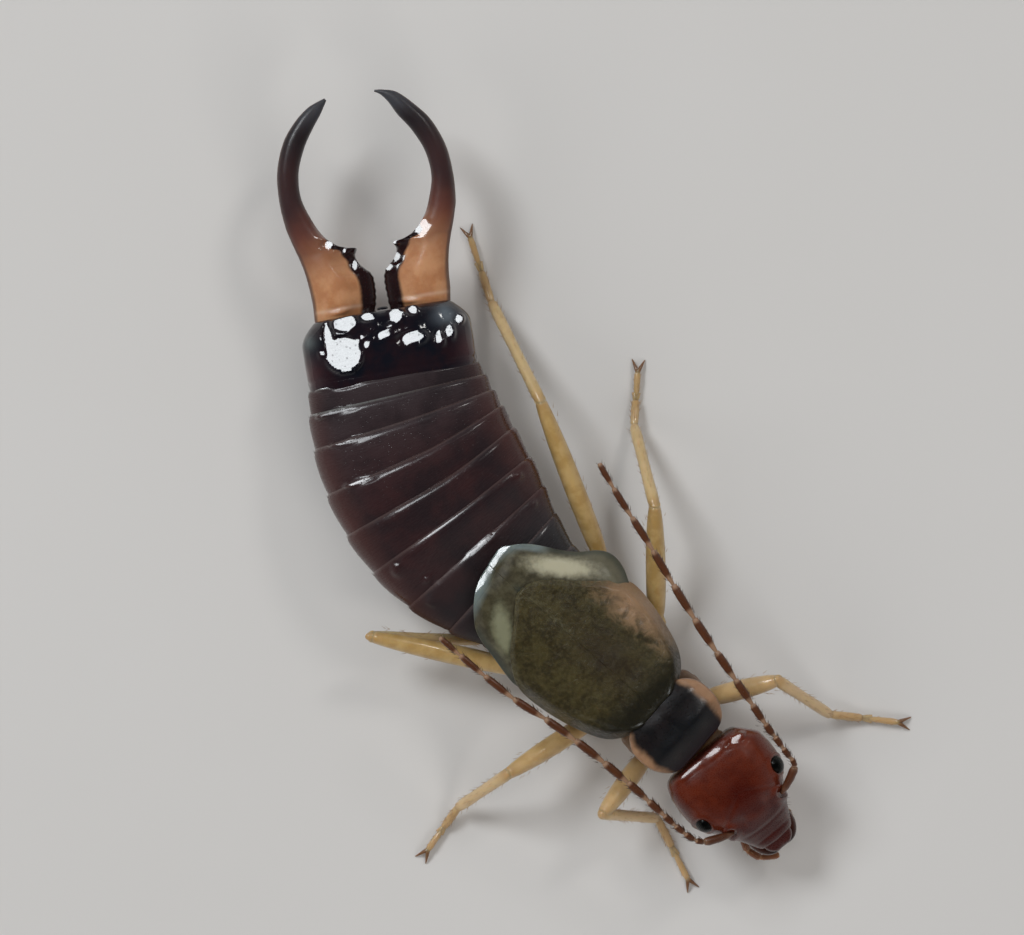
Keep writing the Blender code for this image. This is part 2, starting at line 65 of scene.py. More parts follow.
def bodyFrame(s):
    # the middle line's point s behind the neck, with the ways back and left there
    turn = line["thoraxLean"] - line["tailLean"]
    first = min(s, line["straight"])
    turned = min(max(s - line["straight"], 0.0) / line["bendRadius"], turn)
    rest = max(s - line["straight"] - line["bendRadius"] * turn, 0.0)
    start, lean = line["thoraxLean"], line["thoraxLean"] - turned
    x = line["neck"].x - first * sin(start) - line["bendRadius"] * (cos(lean) - cos(start))
    y = line["neck"].y + first * cos(start) + line["bendRadius"] * (sin(start) - sin(lean))
    back, left = ways(lean)
    return Vector((x, y, 0.0)) + back * rest, back, left


def headFrame(ahead):
    back, left = ways(line["headLean"])
    return line["neck"] - back * ahead, back, left


def spot(at, across, height, along=0.0):
    point, back, left = at
    return point + left * across + back * along + up * height


def curve(rows, s):
    # a smooth curve's value at s, through (place, value) rows
    s = min(max(s, rows[0][0]), rows[-1][0])
    i = max(k for k in range(len(rows) - 1) if rows[k][0] <= s)

    def slope(k):
        low, high = rows[max(k - 1, 0)], rows[min(k + 1, len(rows) - 1)]
        return (high[1] - low[1]) / (high[0] - low[0])

    (x0, y0), (x1, y1) = rows[i], rows[i + 1]
    run = x1 - x0
    t = (s - x0) / run
    level = y0 * (2 * t**3 - 3 * t**2 + 1) + y1 * (3 * t**2 - 2 * t**3)
    return level + run * (slope(i) * (t**3 - 2 * t**2 + t) + slope(i + 1) * (t**3 - t**2))


def refine(rows, parts):
    # the rows with smooth rows between them
    columns = [[(k, row[c]) for k, row in enumerate(rows)] for c in range(len(rows[0]))]
    marks = [k / parts for k in range((len(rows) - 1) * parts + 1)]
    return [[curve(column, mark) for column in columns] for mark in marks]


def spread(start, end, count, pinch=0.6):
    # places from start to end, closer together at both ends
    made = []
    for k in range(count):
        w = k / (count - 1)
        made.append(start + (end - start) * ((1 - pinch) * w + pinch * (0.5 - 0.5 * cos(pi * w))))
    return made


def rise(x, low, high):
    # 0 below low, 1 above high, smooth between
    t = min(max((x - low) / (high - low), 0.0), 1.0)
    return t * t * (3 - 2 * t)


def hill(x, middle, width):
    return exp(-(((x - middle) / width) ** 2))


def rounded(value, power):
    # a power that keeps the sign, for squarer or rounder outlines
    return copysign(abs(value) ** power, value)


def offLine(u, v, start, end):
    # distance from (u, v) to the stretch between two points
    ax, ay = end[0] - start[0], end[1] - start[1]
    t = min(max(((u - start[0]) * ax + (v - start[1]) * ay) / (ax * ax + ay * ay), 0.0), 1.0)
    return hypot(u - start[0] - ax * t, v - start[1] - ay * t)


def newShape():
    bm = bmesh.new()
    bm.verts.layers.float_vector.new("place")
    return bm


def loft(bm, rings):
    # a closed skin through rings of (point, place) pairs; place is what the materials read
    layer = bm.verts.layers.float_vector["place"]
    loop = bmesh.ops.create_circle(bm, cap_ends=True, radius=1.0, segments=len(rings[0]))["verts"]
    faces = set(loop[0].link_faces)
    edges = list(loop[0].link_faces[0].edges)
    fresh = set(loop)
    for i, ring in enumerate(rings):
        if i:
            made = bmesh.ops.extrude_edge_only(bm, edges=edges)["geom"]
            fresh = {g for g in made if isinstance(g, bmesh.types.BMVert)}
            faces.update(g for g in made if isinstance(g, bmesh.types.BMFace))
            edges = [g for g in made if isinstance(g, bmesh.types.BMEdge) and set(g.verts) <= fresh]
            loop = [next(e.other_vert(v) for e in v.link_edges if e.other_vert(v) in fresh) for v in loop]
        for vert, (point, place) in zip(loop, ring):
            vert.co = point
            vert[layer] = place
    faces.update(bmesh.ops.contextual_create(bm, geom=edges)["faces"])
    bmesh.ops.recalc_face_normals(bm, faces=list(faces))
    return faces


def closed(rings):
    bm = newShape()
    loft(bm, rings)
    return bm


def ovalRing(at, s, half, top, waist, bottom, sides, power=2.3, relief=None):
    # an upright ring; relief(across, s, height, above) moves its points outwards
    ring = []
    centre = spot(at, 0.0, waist)
    for k in range(sides):
        turn = 2 * pi * (k + 0.5) / sides
        across = half * rounded(cos(turn), 2 / power)
        lift = rounded(sin(turn), 2 / power)
        height = waist + ((top - waist) if lift > 0 else (waist - bottom)) * lift
        point = spot(at, across, height)
        if relief:
            point += (point - centre).normalized() * relief(across, s, height, lift > 0)
        ring.append((point, (across, s, height)))
    return ring


def plate(bm, frameAt, along, edgesAt, topAt, thick, lip, count):
    # a thin plate with rounded edges, over places along the body; place ends with how near an edge is
    rings = []
    for s in along:
        inner, outer = edgesAt(s)
        end = min((s - along[0]) / lip, (along[-1] - s) / lip, 1.0)
        over, under = [], []
        for u in spread(inner, outer, count):
            edge = min(abs(u - inner) / lip, abs(outer - u) / lip, end, 1.0)
            tuck = (1 - sqrt(max(1 - (1 - edge) ** 2, 0.0))) * 0.47 * thick
            top = topAt(u, s)
            near = min(abs(u - inner), abs(outer - u), s - along[0], along[-1] - s)
            over.append((spot(frameAt(s), u, top - tuck), (u, s, near)))
            under.append((spot(frameAt(s), u, top - thick + tuck), (u, s, near)))
        rings.append(over + under[::-1])
    return loft(bm, rings)


def limb(bm, start, end, joint, sides, rows, flat=1.0, bow=Vector()):
    # a tapering joint of a limb; rows are (share of its length, radius)
    middle = (start + end) / 2 + bow
    rings = []
    for share, radius in rows:
        t = min(max(share, 0.0), 1.0)
        point = start * (1 - t) ** 2 + middle * (2 * t * (1 - t)) + end * t**2
        way = ((middle - start) * (1 - t) + (end - middle) * t).normalized()
        point += way * (share - t) * (end - start).length
        side = way.cross(up).normalized()
        lift = side.cross(way)
        ring = []
        for k in range(sides):
            turn = 2 * pi * k / sides
            out = side * (cos(turn) * flat) + lift * sin(turn)
            ring.append((point + out * radius, (k / sides, joint + t, radius)))
        rings.append(ring)
    return loft(bm, rings)


def domed(rows):
    # rows with rounded ends added
    (first, r0), (last, r1) = rows[0], rows[-1]
    turns = [pi / 2 * (k + 0.4) / 4 for k in range(4)]
    front = [(first - 0.06 * cos(turn), r0 * sin(turn)) for turn in turns]
    rear = [(last + 0.04 * cos(turn), r1 * sin(turn)) for turn in reversed(turns)]
    return front + list(rows) + rear


flatSet = dict(
    crown=0.02,  # how much a flat bulges, for its half width
    border=0.06,  # width of the blend round it
    deep=(0.22, 0.12),  # the shell is untouched below the first, and flat above the second
)


def pressFlats(bm, at, flats, lean):
    # small flats (left, back, half width, half length) in a shell's top that all lean one way;
    # a fifth value keeps a flat in the plane of the one before it
    point, back, left = at
    plane = None
    for u, v, wide, long, *joined in flats:
        near = []
        for vert in bm.verts:
            off = vert.co - point
            a, b = off.dot(left) - u, off.dot(back) - v
            reach = hypot(a / wide, b / long)
            if reach < 2.2:
                near.append((reach, vert, a, b))
        near.sort(key=lambda item: item[0])
        if joined:
            level = plane[2] + lean[0] * (u - plane[0]) + lean[1] * (v - plane[1])
        else:
            level = max(vert.co.z for reach, vert, a, b in near[:8])
        plane = (u, v, level)
        for reach, vert, a, b in near:
            flat = level + lean[0] * a + lean[1] * b - flatSet["crown"] * wide * reach**2
            share = 1 - rise((reach - 0.92) * min(wide, long), 0.0, flatSet["border"])
            share *= rise(vert.co.z, *(level - deep for deep in flatSet["deep"]))
            vert.co.z += (flat - vert.co.z) * share


def finishPiece(name, bm, look, node=None, sharp=48):
    bmesh.ops.transform(bm, matrix=toFrame, verts=bm.verts)
    mesh = bpy.data.meshes.new(name)
    bm.to_mesh(mesh)
    bm.free()
    mesh.materials.append(looks[look].material)
    mesh.shade_smooth()
    mesh.set_sharp_from_angle(angle=radians(sharp))
    piece = bpy.data.objects.new(name, mesh)
    scene.collection.objects.link(piece)
    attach(piece, "root")
    if node:
        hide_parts(node)


# Materials
class Value:
    # a number on its way through a material
    def __init__(self, look, socket):
        self.look = look
        self.socket = socket

    def maths(self, operation, other=0.0, turned=False):
        first, second = (other, self) if turned else (self, other)
        return self.look.node("Math", {"operation": operation}, {0: first, 1: second})

    def __add__(self, other):
        return self.maths("ADD", other)

    def __sub__(self, other):
        return self.maths("SUBTRACT", other)

    def __rsub__(self, other):
        return self.maths("SUBTRACT", other, True)

    def __mul__(self, other):
        return self.maths("MULTIPLY", other)

    def __truediv__(self, other):
        return self.maths("DIVIDE", other)

    def __rtruediv__(self, other):
        return self.maths("DIVIDE", other, True)

    __radd__ = __add__
    __rmul__ = __mul__

    def size(self):
        return self.maths("ABSOLUTE")

    def rise(self, low, high, start=0.0, end=1.0):
        # start below low, end above high, smooth between
        sockets = {0: self, 1: low, 2: high, 3: start, 4: end}
        return self.look.node("MapRange", {"interpolation_type": "SMOOTHSTEP"}, sockets)

    def hill(self, middle, width):
        off = (self - middle) / width
        return (off * off * -1.0).maths("EXPONENT")

    def ends(self, low, high, last, first):
        # 1 at both ends of every joint, where self is the joint's number and the share of it
        share = self.maths("FRACT")
        return 1.0 - share.rise(low, high) * share.rise(last, first)

    def mix(self, first, second):
        return self.look.node("Mix", {"data_type": "RGBA"}, {0: self, 6: first, 7: second}, 2)

    def bump(self, distance, strength=1.0, under=None):
        # a relief this many millimetres deep, on top of the one under it
        sockets = {"Height": self, "Distance": distance * 0.001, "Strength": strength}
        if under:
            sockets["Normal"] = under
        return self.look.node("Bump", {}, sockets)


class Look:
    def __init__(self, name, settings):
        self.material = bpy.data.materials.new(name)
        self.material.use_nodes = True
        self.tree = self.material.node_tree
        self.set(settings)
        spots = self.node("TexCoord", {}, {}, "Object")
        self.inMm = self.node("VectorMath", {"operation": "SCALE"}, {0: spots, 3: 1000.0})
        self.place = self.node("Attribute", {"attribute_name": "place"}, {}, "Vector")

    def set(self, settings):
        # the shader's own sockets, by name
        for name, value in settings.items():
            self.feed(self.tree.nodes["Principled BSDF"].inputs[name], value)

    def feed(self, socket, value):
        if isinstance(value, Value):
            self.tree.links.new(value.socket, socket)
        elif socket.type == "RGBA":
            socket.default_value = (*value, 1.0)
        else:
            socket.default_value = value

    def node(self, kind, settings, sockets, out=0):
        made = self.tree.nodes.new("ShaderNode" + kind)
        for name, value in settings.items():
            setattr(made, name, value)
        for key, value in sockets.items():
            self.feed(made.inputs[key], value)
        return Value(self, made.outputs[out])

    def axes(self, vector=None):
        parts = self.node("SeparateXYZ", {}, {0: vector or self.place}).socket.node
        return [Value(self, parts.outputs[k]) for k in range(3)]

    def vector(self, x, y, z):
        return self.node("CombineXYZ", {}, {0: x, 1: y, 2: z})

    def noise(self, scale, detail=3.0, rough=0.55, at=None, warp=0.0):
        sockets = {"Vector": at or self.inMm, "Scale": scale, "Detail": detail, "Roughness": rough,
                   "Distortion": warp}
        return self.node("TexNoise", {}, sockets)

    def wrinkles(self, wide, close):
        # noise drawn out across the body
        across, along, height = self.axes()
        return self.noise(1.0, 3.0, 0.6, self.vector(across * wide, along * close, height * wide))

    def cells(self, scale, feature="F1", at=None, stray=1.0):
        sockets = {"Vector": at or self.inMm, "Scale": scale, "Randomness": stray}
        return self.node("TexVoronoi", {"feature": feature}, sockets)

    def tint(self, share, colour):
        # this much of another colour over the colour so far
        self.colour = share.mix(self.colour, colour)

    def wear(self, normal=None, rough=None, coat=None):
        # the colour so far and the surface go to the shader
        values = {"Base Color": self.colour, "Roughness": rough, "Coat Weight": coat, "Normal": normal}
        self.set({name: value for name, value in values.items() if value is not None})
        return self


def shell(name, roughness, coat=0.5, coatRoughness=0.08, glow=0.0, warmth=(1.0, 0.4, 0.15), shine=0.36):
    # the settings that every piece of the animal's shell shares
    return Look(name, {
        "Roughness": roughness,
        "Specular IOR Level": shine,
        "Coat Weight": coat,
        "Coat Roughness": coatRoughness,
        "IOR": 1.5,
        "Subsurface Weight": glow,
        "Subsurface Radius": warmth,
        "Subsurface Scale": 0.00012,
    })


def headLook():
    look = shell("headShell", 0.28, 0.5, 0.07, 0.12)
    across, ahead = look.axes()[:2]
    mottle = look.noise(5.0, 4.0).rise(0.35, 0.65)
    look.colour = mottle.mix((0.122, 0.0185, 0.006), (0.088, 0.012, 0.004))
    middle = across.hill(0.0, 0.42) * ahead.hill(0.95, 0.42)
    look.tint(middle * 0.85, (0.05, 0.003, 0.0008))
    look.tint(across.size().rise(0.84, 1.02) * 0.6, (0.05, 0.01, 0.005))
    look.tint(across.rise(0.15, 0.8) * 0.35, (0.165, 0.03, 0.012))
    front = (ahead + (mottle - 0.5) * 0.14).rise(1.1, 1.66)
    look.tint(front * 0.94, look.noise(9.0, 3.0).mix((0.037, 0.005, 0.0038), (0.058, 0.0105, 0.008)))
    # painted shade: the rear rim is darkened where it meets the pronotum
    look.tint(ahead.rise(0.04, -0.05) * 0.7, (0.02, 0.005, 0.005))
    fine = look.noise(42.0, 3.0)
    surface = look.cells(22.0).rise(0.05, 0.22).bump(0.006, 0.35)
    # duller beside the shining flats
    dull = across.hill(0.66, 0.13) * ahead.hill(0.34, 0.1) * 1.4
    dull = dull.maths("MAXIMUM", across.hill(-0.1, 0.05) * ahead.hill(0.08, 0.12))
    dull = dull.maths("MINIMUM", 1.0)
    rough = fine.rise(0.3, 0.7, 0.24, 0.34) + dull * 0.26
    return look.wear(fine.bump(0.004, 0.5, surface), rough, 0.5 - dull * 0.48)


def darkLook(name, colours, roughness, coat, pits=16.0, depth=0.01, tintsAndSheen=()):
    # dark shell whose two colours drift into each other, with fine pits and wrinkles across
    look = shell(name, roughness, coat, 0.05)
    across, along, height = look.axes()
    look.colour = look.noise(2.2, 4.0, 0.6).rise(0.32, 0.68).mix(*colours)
    # each patch is either the shell's own colour or a painted sheen
    for u, v, radius, strong, lowest, tint in tintsAndSheen:
        there = across.hill(u, radius) * along.hill(v, radius) * strong
        look.tint(there * height.rise(lowest, lowest + 0.25), tint)
    lines = look.wrinkles(7.0, 34.0)
    surface = look.cells(pits).rise(0.06, 0.26).bump(depth, 0.55)
    rough = lines.rise(0.3, 0.7, roughness - 0.03, roughness + 0.06)
    return look.wear(lines.bump(0.003, 0.6, surface), rough)


def tergiteLook():
    look = shell("tergiteShell", 0.25, 0.2, 0.1)
    across, along = look.axes()[:2]  # along is the tergite's number and the share of it
    drift = look.noise(1.1, 4.0, 0.6).rise(0.35, 0.65)
    look.colour = drift.mix((0.021, 0.0125, 0.0145), (0.04, 0.0165, 0.0175))
    smoke = across.rise(-0.5, 0.7).mix((0.014, 0.014, 0.015), (0.032, 0.0325, 0.0345))
    look.tint(along.rise(4.0, 1.2) * 0.75, smoke)
    look.tint(along.rise(5.0, 8.0) * (drift * 0.35 + 0.15), (0.04, 0.04, 0.045))
    side = across.size().rise(1.15, 1.75)
    look.tint(side * 0.5, (0.085, 0.02, 0.013))
    # a paler hind-edge band: partly the edge's own colour, partly a painted highlight line
    edge = along.maths("FRACT").rise(0.9, 0.99)
    look.tint(edge * (0.24 - side * 0.14), (0.15, 0.09, 0.078))
    # painted highlight: a pale whitish line on the rear plates' hind edges, on the right side
    paintedGlint = along.rise(6.9, 7.4) * across.rise(1.3, -0.9) * across.rise(-1.72, -1.5)
    look.tint(edge * paintedGlint * 0.55, (0.25, 0.27, 0.26))
    lines = look.wrinkles(6.0, 22.0)
    surface = look.cells(15.0).rise(0.05, 0.24).bump(0.008, 0.5)
    dull = along.rise(3.2, 3.0) * across.rise(-0.25, -0.5)  # the front plates' right side
    rough = lines.rise(0.3, 0.7, 0.22, 0.34) - edge * 0.08 + dull * 0.26
    return look.wear(lines.bump(0.004, 0.5, surface), rough, (edge * 0.5 + 0.2) * (1.0 - dull * 0.95))


def pronotumLook():
    # a black disc with straw-brown margins
    look = shell("pronotumShell", 0.3, 0.15, 0.12, 0.12)
    across, along, near = look.axes()
    drift = look.noise(3.5, 4.0).rise(0.35, 0.65)
    look.colour = drift.mix((0.0042, 0.0035, 0.004), (0.01, 0.0068, 0.007))
    # painted bluish sheen across the middle of the disc
    look.tint(along.hill(0.62, 0.25) * 0.35, (0.0095, 0.0125, 0.015))
    look.tint(along.rise(0.45, 0.12) * 0.6, (0.015, 0.005, 0.009))
    out = across.size() + look.noise(4.0, 2.0) * 0.14 + across.rise(-0.1, 0.1) * 0.05
    out = out + along.rise(0.5, 0.15) * 0.08 + along.rise(0.95, 1.4) * 0.1
    margin = look.noise(8.0, 3.0).mix((0.25, 0.132, 0.07), (0.385, 0.225, 0.13))
    look.tint(out.rise(0.73, 0.89) * near.rise(0.0, 0.015, 0.6, 1.0), margin)
    fine = look.noise(30.0, 4.0)
    return look.wear(fine.bump(0.004, 0.5), fine.rise(0.3, 0.7, 0.27, 0.42))


def wingLook():
    # wing cases: olive brown leather, paler and browner towards the left outer side
    look = shell("wingCase", 0.4, 0.12, 0.2, 0.22, (1.0, 0.6, 0.25), 0.28)
    across, along, near = look.axes()
    blotch = look.noise(3.4, 5.0, 0.62, warp=0.6).rise(0.36, 0.66)
    speck = look.noise(13.0, 4.0, 0.6).rise(0.42, 0.66)
    look.colour = blotch.mix((0.027, 0.02, 0.0062), (0.058, 0.0455, 0.0145))
    look.tint(speck * 0.35, (0.105, 0.086, 0.036))
    middle = across.hill(0.12, 0.42) * along.hill(2.5, 0.8)
    look.tint(middle * 0.65, (0.028, 0.018, 0.0105))
    pale = (across + (blotch - 0.5) * 0.25).rise(0.66, 1.14) * along.hill(2.75, 0.95)
    look.tint(pale * 0.88, (0.345, 0.21, 0.118))
    shoulder = (along + across * 0.12).rise(2.0, 1.45)
    look.tint(shoulder * 0.85, (0.0085, 0.008, 0.0048))
    edge = near.rise(0.2, 0.0) * along.rise(3.1, 3.5) * speck.rise(-0.6, 1.0)
    look.tint(edge * 0.75, (0.1, 0.088, 0.046))
    grain = look.noise(16.0, 5.0, 0.65, look.vector(across * 1.3, along * 0.8, near * 0.5))
    creases = look.cells(9.0, "DISTANCE_TO_EDGE", look.vector(across * 1.5, along, 0.0))
    surface = creases.rise(0.0, 0.12).bump(0.01, 0.3)
    return look.wear(grain.bump(0.024, 0.7, surface), grain.rise(0.3, 0.7, 0.32, 0.48))


def hindWingLook():
    # folded hind wings: a cream patch beside the wing case, blue-grey to the tip, partly the wing's colour
    # and partly a painted reflection of the glossy rim
    look = shell("hindWing", 0.25, 0.4, 0.08, 0.25, (1.0, 0.8, 0.45))
    across, along, near = look.axes()
    out = across.size()
    blotch = look.noise(6.0, 4.0, 0.6).rise(0.35, 0.68)
    look.colour = blotch.mix((0.036, 0.029, 0.013), (0.08, 0.07, 0.038))
    grey = (across + (blotch - 0.5) * 0.2).rise(0.95, 1.25)
    look.tint(grey * 0.6, (0.165, 0.155, 0.105))
    onLeft = across.rise(-0.1, 0.1)
    reach = along.hill(4.24, 0.42) * (1.0 - onLeft) + along.hill(4.2, 0.58) * onLeft
    patch = (out + (along - 4.2) * 0.62).hill(0.78, 0.24) * reach  # it leans inwards to the rear
    patch = (patch + (look.noise(8.0, 4.0, 0.6) - 0.5) * 0.6).rise(0.12, 0.92)
    look.tint(patch, onLeft.mix((0.225, 0.225, 0.14), (0.47, 0.44, 0.31)))
    # blue-grey at the tip and along the left hind edge: partly the wing's own colour, partly painted
    # reflection of the glossy rim
    tip = (along + out * 0.35).rise(5.02, 5.24)
    nearEdge = near.rise(0.2, 0.08) * along.rise(4.45, 4.75) * across.rise(0.2, 0.45)
    look.tint(tip.maths("MAXIMUM", nearEdge) * 0.85, (0.2, 0.245, 0.24))
    side = near.rise(0.16, 0.03) * along.rise(4.7, 4.45)
    look.tint(side * 0.6, (0.036, 0.046, 0.038))
    folds = look.noise(1.0, 3.0, 0.5, look.vector(across * 14.0, along * 3.0, 0.0))
    rim = (along + out * 0.12).rise(4.96, 5.06)
    return look.wear(folds.bump(0.008, 0.5), 0.44 - rim * 0.22, rim * 0.65 + 0.03)


def forcepsLook(name, dusk):
    # dusk is how much nearer to the root the arm is dark
    look = shell(name, 0.26, 0.4, 0.08, 0.15, (1.0, 0.35, 0.12))
    side, along, height = look.axes()  # side is -1 outside and 1 inside
    drift = look.noise(3.0, 4.0, 0.6)
    look.colour = drift.rise(0.35, 0.65).mix((0.445, 0.193, 0.086), (0.56, 0.28, 0.138))
    way = along + (drift - 0.5) * 0.35 - side * 0.18 + dusk
    look.tint(way.rise(0.75, 1.75), (0.13, 0.043, 0.03))
    look.tint(way.rise(1.5, 2.3), (0.04, 0.0175, 0.018))
    look.tint(along.rise(2.6, 3.3), (0.018, 0.012, 0.014))
    # painted grey-blue sheen on the tips
    look.tint(along.rise(3.3, 3.8) * 0.7, (0.062, 0.064, 0.074))
    # the toothed inner blade is dark, broad at the root and a fine line from the tooth on
    bound = along.hill(0.96, 0.1) * 0.15 - along.hill(1.22, 0.12) * 0.14 + along.rise(1.28, 1.52) * 0.5
    inside = (side - bound + (drift - 0.5) * 0.16).rise(0.46, 0.6)
    outer = 1.0 - inside
    look.tint(inside, (0.016, 0.005, 0.0055))
    look.tint(side.rise(-0.84, -0.95) * 0.85, (0.06, 0.018, 0.008))
    # painted highlight: a pale line along the top of the arm's root
    look.tint(along.hill(0.13, 0.035) * outer * height.rise(0.1, 0.8) * 0.4, (0.7, 0.5, 0.38))
    fine = look.noise(20.0, 4.0)
    dull = along.hill(0.8, 0.25) * outer
    rough = fine.rise(0.3, 0.7, 0.32, 0.42) - inside * 0.14 + dull * 0.12
    bright = (along.hill(1.34, 0.3) * side.rise(-0.15, 0.1)).rise(0.1, 0.5)
    gloss = (inside * 0.6).maths("MAXIMUM", bright * 0.9) + 0.06
    return look.wear(fine.bump(0.005, 0.5), rough, gloss)


def legLook():
    look = shell("legShell", 0.3, 0.45, 0.08, 0.45, (1.0, 0.68, 0.32), 0.42)
    along = look.axes()[1]
    look.colour = look.noise(4.0, 3.0).rise(0.35, 0.65).mix((0.46, 0.295, 0.105), (0.56, 0.385, 0.165))
    look.tint(along.rise(2.9, 3.2) * 0.45, (0.68, 0.54, 0.33))
    look.tint(look.axes(look.inMm)[1].rise(-3.2, -4.8) * 0.4, (0.72, 0.5, 0.29))
    look.tint(along.ends(0.0, 0.1, 1.0, 0.9) * 0.35, (0.34, 0.175, 0.065))
    look.tint(along.rise(3.9, 4.3) * 0.45, (0.38, 0.21, 0.08))  # the foot
    look.tint(along.rise(6.99, 7.3) * 0.85, (0.12, 0.045, 0.018))  # the claws
    return look.wear(look.noise(26.0, 3.0).bump(0.006, 0.6))


def feelerLook():
    look = shell("feelerShell", 0.38, 0.25, 0.2, 0.15)
    along = look.axes()[1]
    look.colour = look.noise(6.0, 3.0).mix((0.066, 0.019, 0.006), (0.11, 0.034, 0.011))
    look.tint(along.ends(0.17, 0.3, 0.93, 0.82) * 0.9, (0.34, 0.205, 0.125))
    look.tint(along.rise(1.1, 0.9) * 0.85, (0.085, 0.027, 0.011))  # the first joint
    return look.wear(look.noise(40.0, 3.0).bump(0.006, 0.7))


def palpLook():
    look = shell("palpShell", 0.34, 0.35, 0.12, 0.25)
    look.colour = look.noise(6.0, 3.0).mix((0.15, 0.05, 0.022), (0.25, 0.1, 0.045))
    look.tint(look.axes()[1].ends(0.0, 0.16, 1.0, 0.86) * 0.8, (0.36, 0.18, 0.085))
    return look.wear(look.noise(36.0, 3.0).bump(0.005, 0.6))


def mouthLook():
    look = shell("mandibleShell", 0.22, 0.7, 0.06)
    look.colour = look.axes()[1].rise(0.25, 0.85).mix((0.05, 0.012, 0.006), (0.01, 0.004, 0.003))
    return look.wear(look.noise(30.0, 3.0).bump(0.004, 0.5))


def skinLook(name, first, second):
    # soft skin between the plates, finely wrinkled
    look = shell(name, 0.45, 0.15, 0.25, 0.2)
    look.colour = look.noise(5.0, 4.0).mix(first, second)
    return look.wear(look.wrinkles(6.0, 40.0).bump(0.012, 0.7))


def eyeLook():
    look = shell("eyeFacets", 0.3, 0.1, shine=0.12)
    facets = look.cells(34.0, stray=0.25)
    look.colour = facets.rise(0.0, 0.45).mix((0.006, 0.01, 0.004), (0.001, 0.001, 0.001))
    return look.wear(facets.rise(0.5, 0.0).bump(0.008, 0.8))


def hairLook(name, first, second):
    look = shell(name, 0.35, 0.0, 0.2)
    look.colour = look.noise(3.0, 2.0).mix(first, second)
    return look.wear()


print("earwig: materials")
looks = dict(
    head=headLook(),
    dark=darkLook("lastTergiteShell", ((0.004, 0.0052, 0.01), (0.015, 0.0065, 0.0095)), 0.12,
                  0.6, 12.0, 0.003, (
                      # painted grey-blue sheen on the top corners, and red sides: across, along, radius,
                      # share, height, colour
                      (1.14, 9.98, 0.2, 0.75, 1.7, (0.15, 0.185, 0.215)),
                      (-1.42, 9.88, 0.13, 0.65, 1.6, (0.125, 0.15, 0.15)),
                      (1.55, 9.3, 0.28, 0.8, 0.5, (0.06, 0.012, 0.014)),
                      (-1.55, 9.3, 0.28, 0.8, 0.5, (0.06, 0.012, 0.014)),
                  )),
    tergite=tergiteLook(),
    sternite=darkLook("sterniteShell", ((0.024, 0.009, 0.007), (0.04, 0.0155, 0.011)), 0.32, 0.4),
    pronotum=pronotumLook(),
    wing=wingLook(),
    hindWing=hindWingLook(),
    forcepsLeft=forcepsLook("leftForceps", 0.02),
    forcepsRight=forcepsLook("rightForceps", 0.14),
    leg=legLook(),
    feeler=feelerLook(),
    palp=palpLook(),
    mouth=mouthLook(),
    skin=skinLook("bodySkin", (0.085, 0.04, 0.022), (0.14, 0.078, 0.044)),
    thorax=skinLook("thoraxShell", (0.105, 0.05, 0.02), (0.19, 0.105, 0.045)),
    eye=eyeLook(),
    paleHair=hairLook("paleHair", (0.3, 0.165, 0.07), (0.46, 0.29, 0.14)),
    darkHair=hairLook("darkHair", (0.05, 0.022, 0.012), (0.09, 0.045, 0.025)),
)


# Fine hairs
def hairs(name, roots, seed, look="paleHair"):
    # roots are (point, way, length, radius, u, v); u and v are the root's place on the skin laid flat
    bm = newShape()
    flat = bm.loops.layers.uv.new("OFBake")
    chance = random.Random(seed)
    for point, way, length, radius, u, v in roots:
        turn = way.to_track_quat("Z", "Y").to_matrix().to_4x4()
        middle = Matrix.Translation(point + way * (0.42 * length))
        made = bmesh.ops.create_cone(bm, segments=3, radius1=radius, radius2=0.15 * radius, depth=length,
                                     cap_ends=True, matrix=middle @ turn)["verts"]
        for face in {f for vert in made for f in vert.link_faces}:
            for corner in face.loops:
                corner[flat].uv = (u + chance.uniform(0, 0.003), v + chance.uniform(0, 0.003))
    finishPiece(name, bm, look, sharp=80)


def hairsAlong(start, end, chance, radius, count, length, lean=0.55, low=0.1, high=0.95):
    # hairs round a limb's joint, leaning towards its end
    way = (end - start).normalized()
    side = way.cross(up).normalized()
    lift = side.cross(way)
    roots = []
    for k in range(count):
        share = low + (high - low) * (k + chance.random()) / count
        turn = chance.uniform(0, 2 * pi)
        out = side * cos(turn) + lift * sin(turn)
        lie = (out * (1 - lean) + way * lean).normalized()
        size = length * chance.uniform(0.7, 1.15)
        roots.append((start.lerp(end, share) + out * radius * 0.9, lie, size, 0.006, share, turn / 7))
    return roots


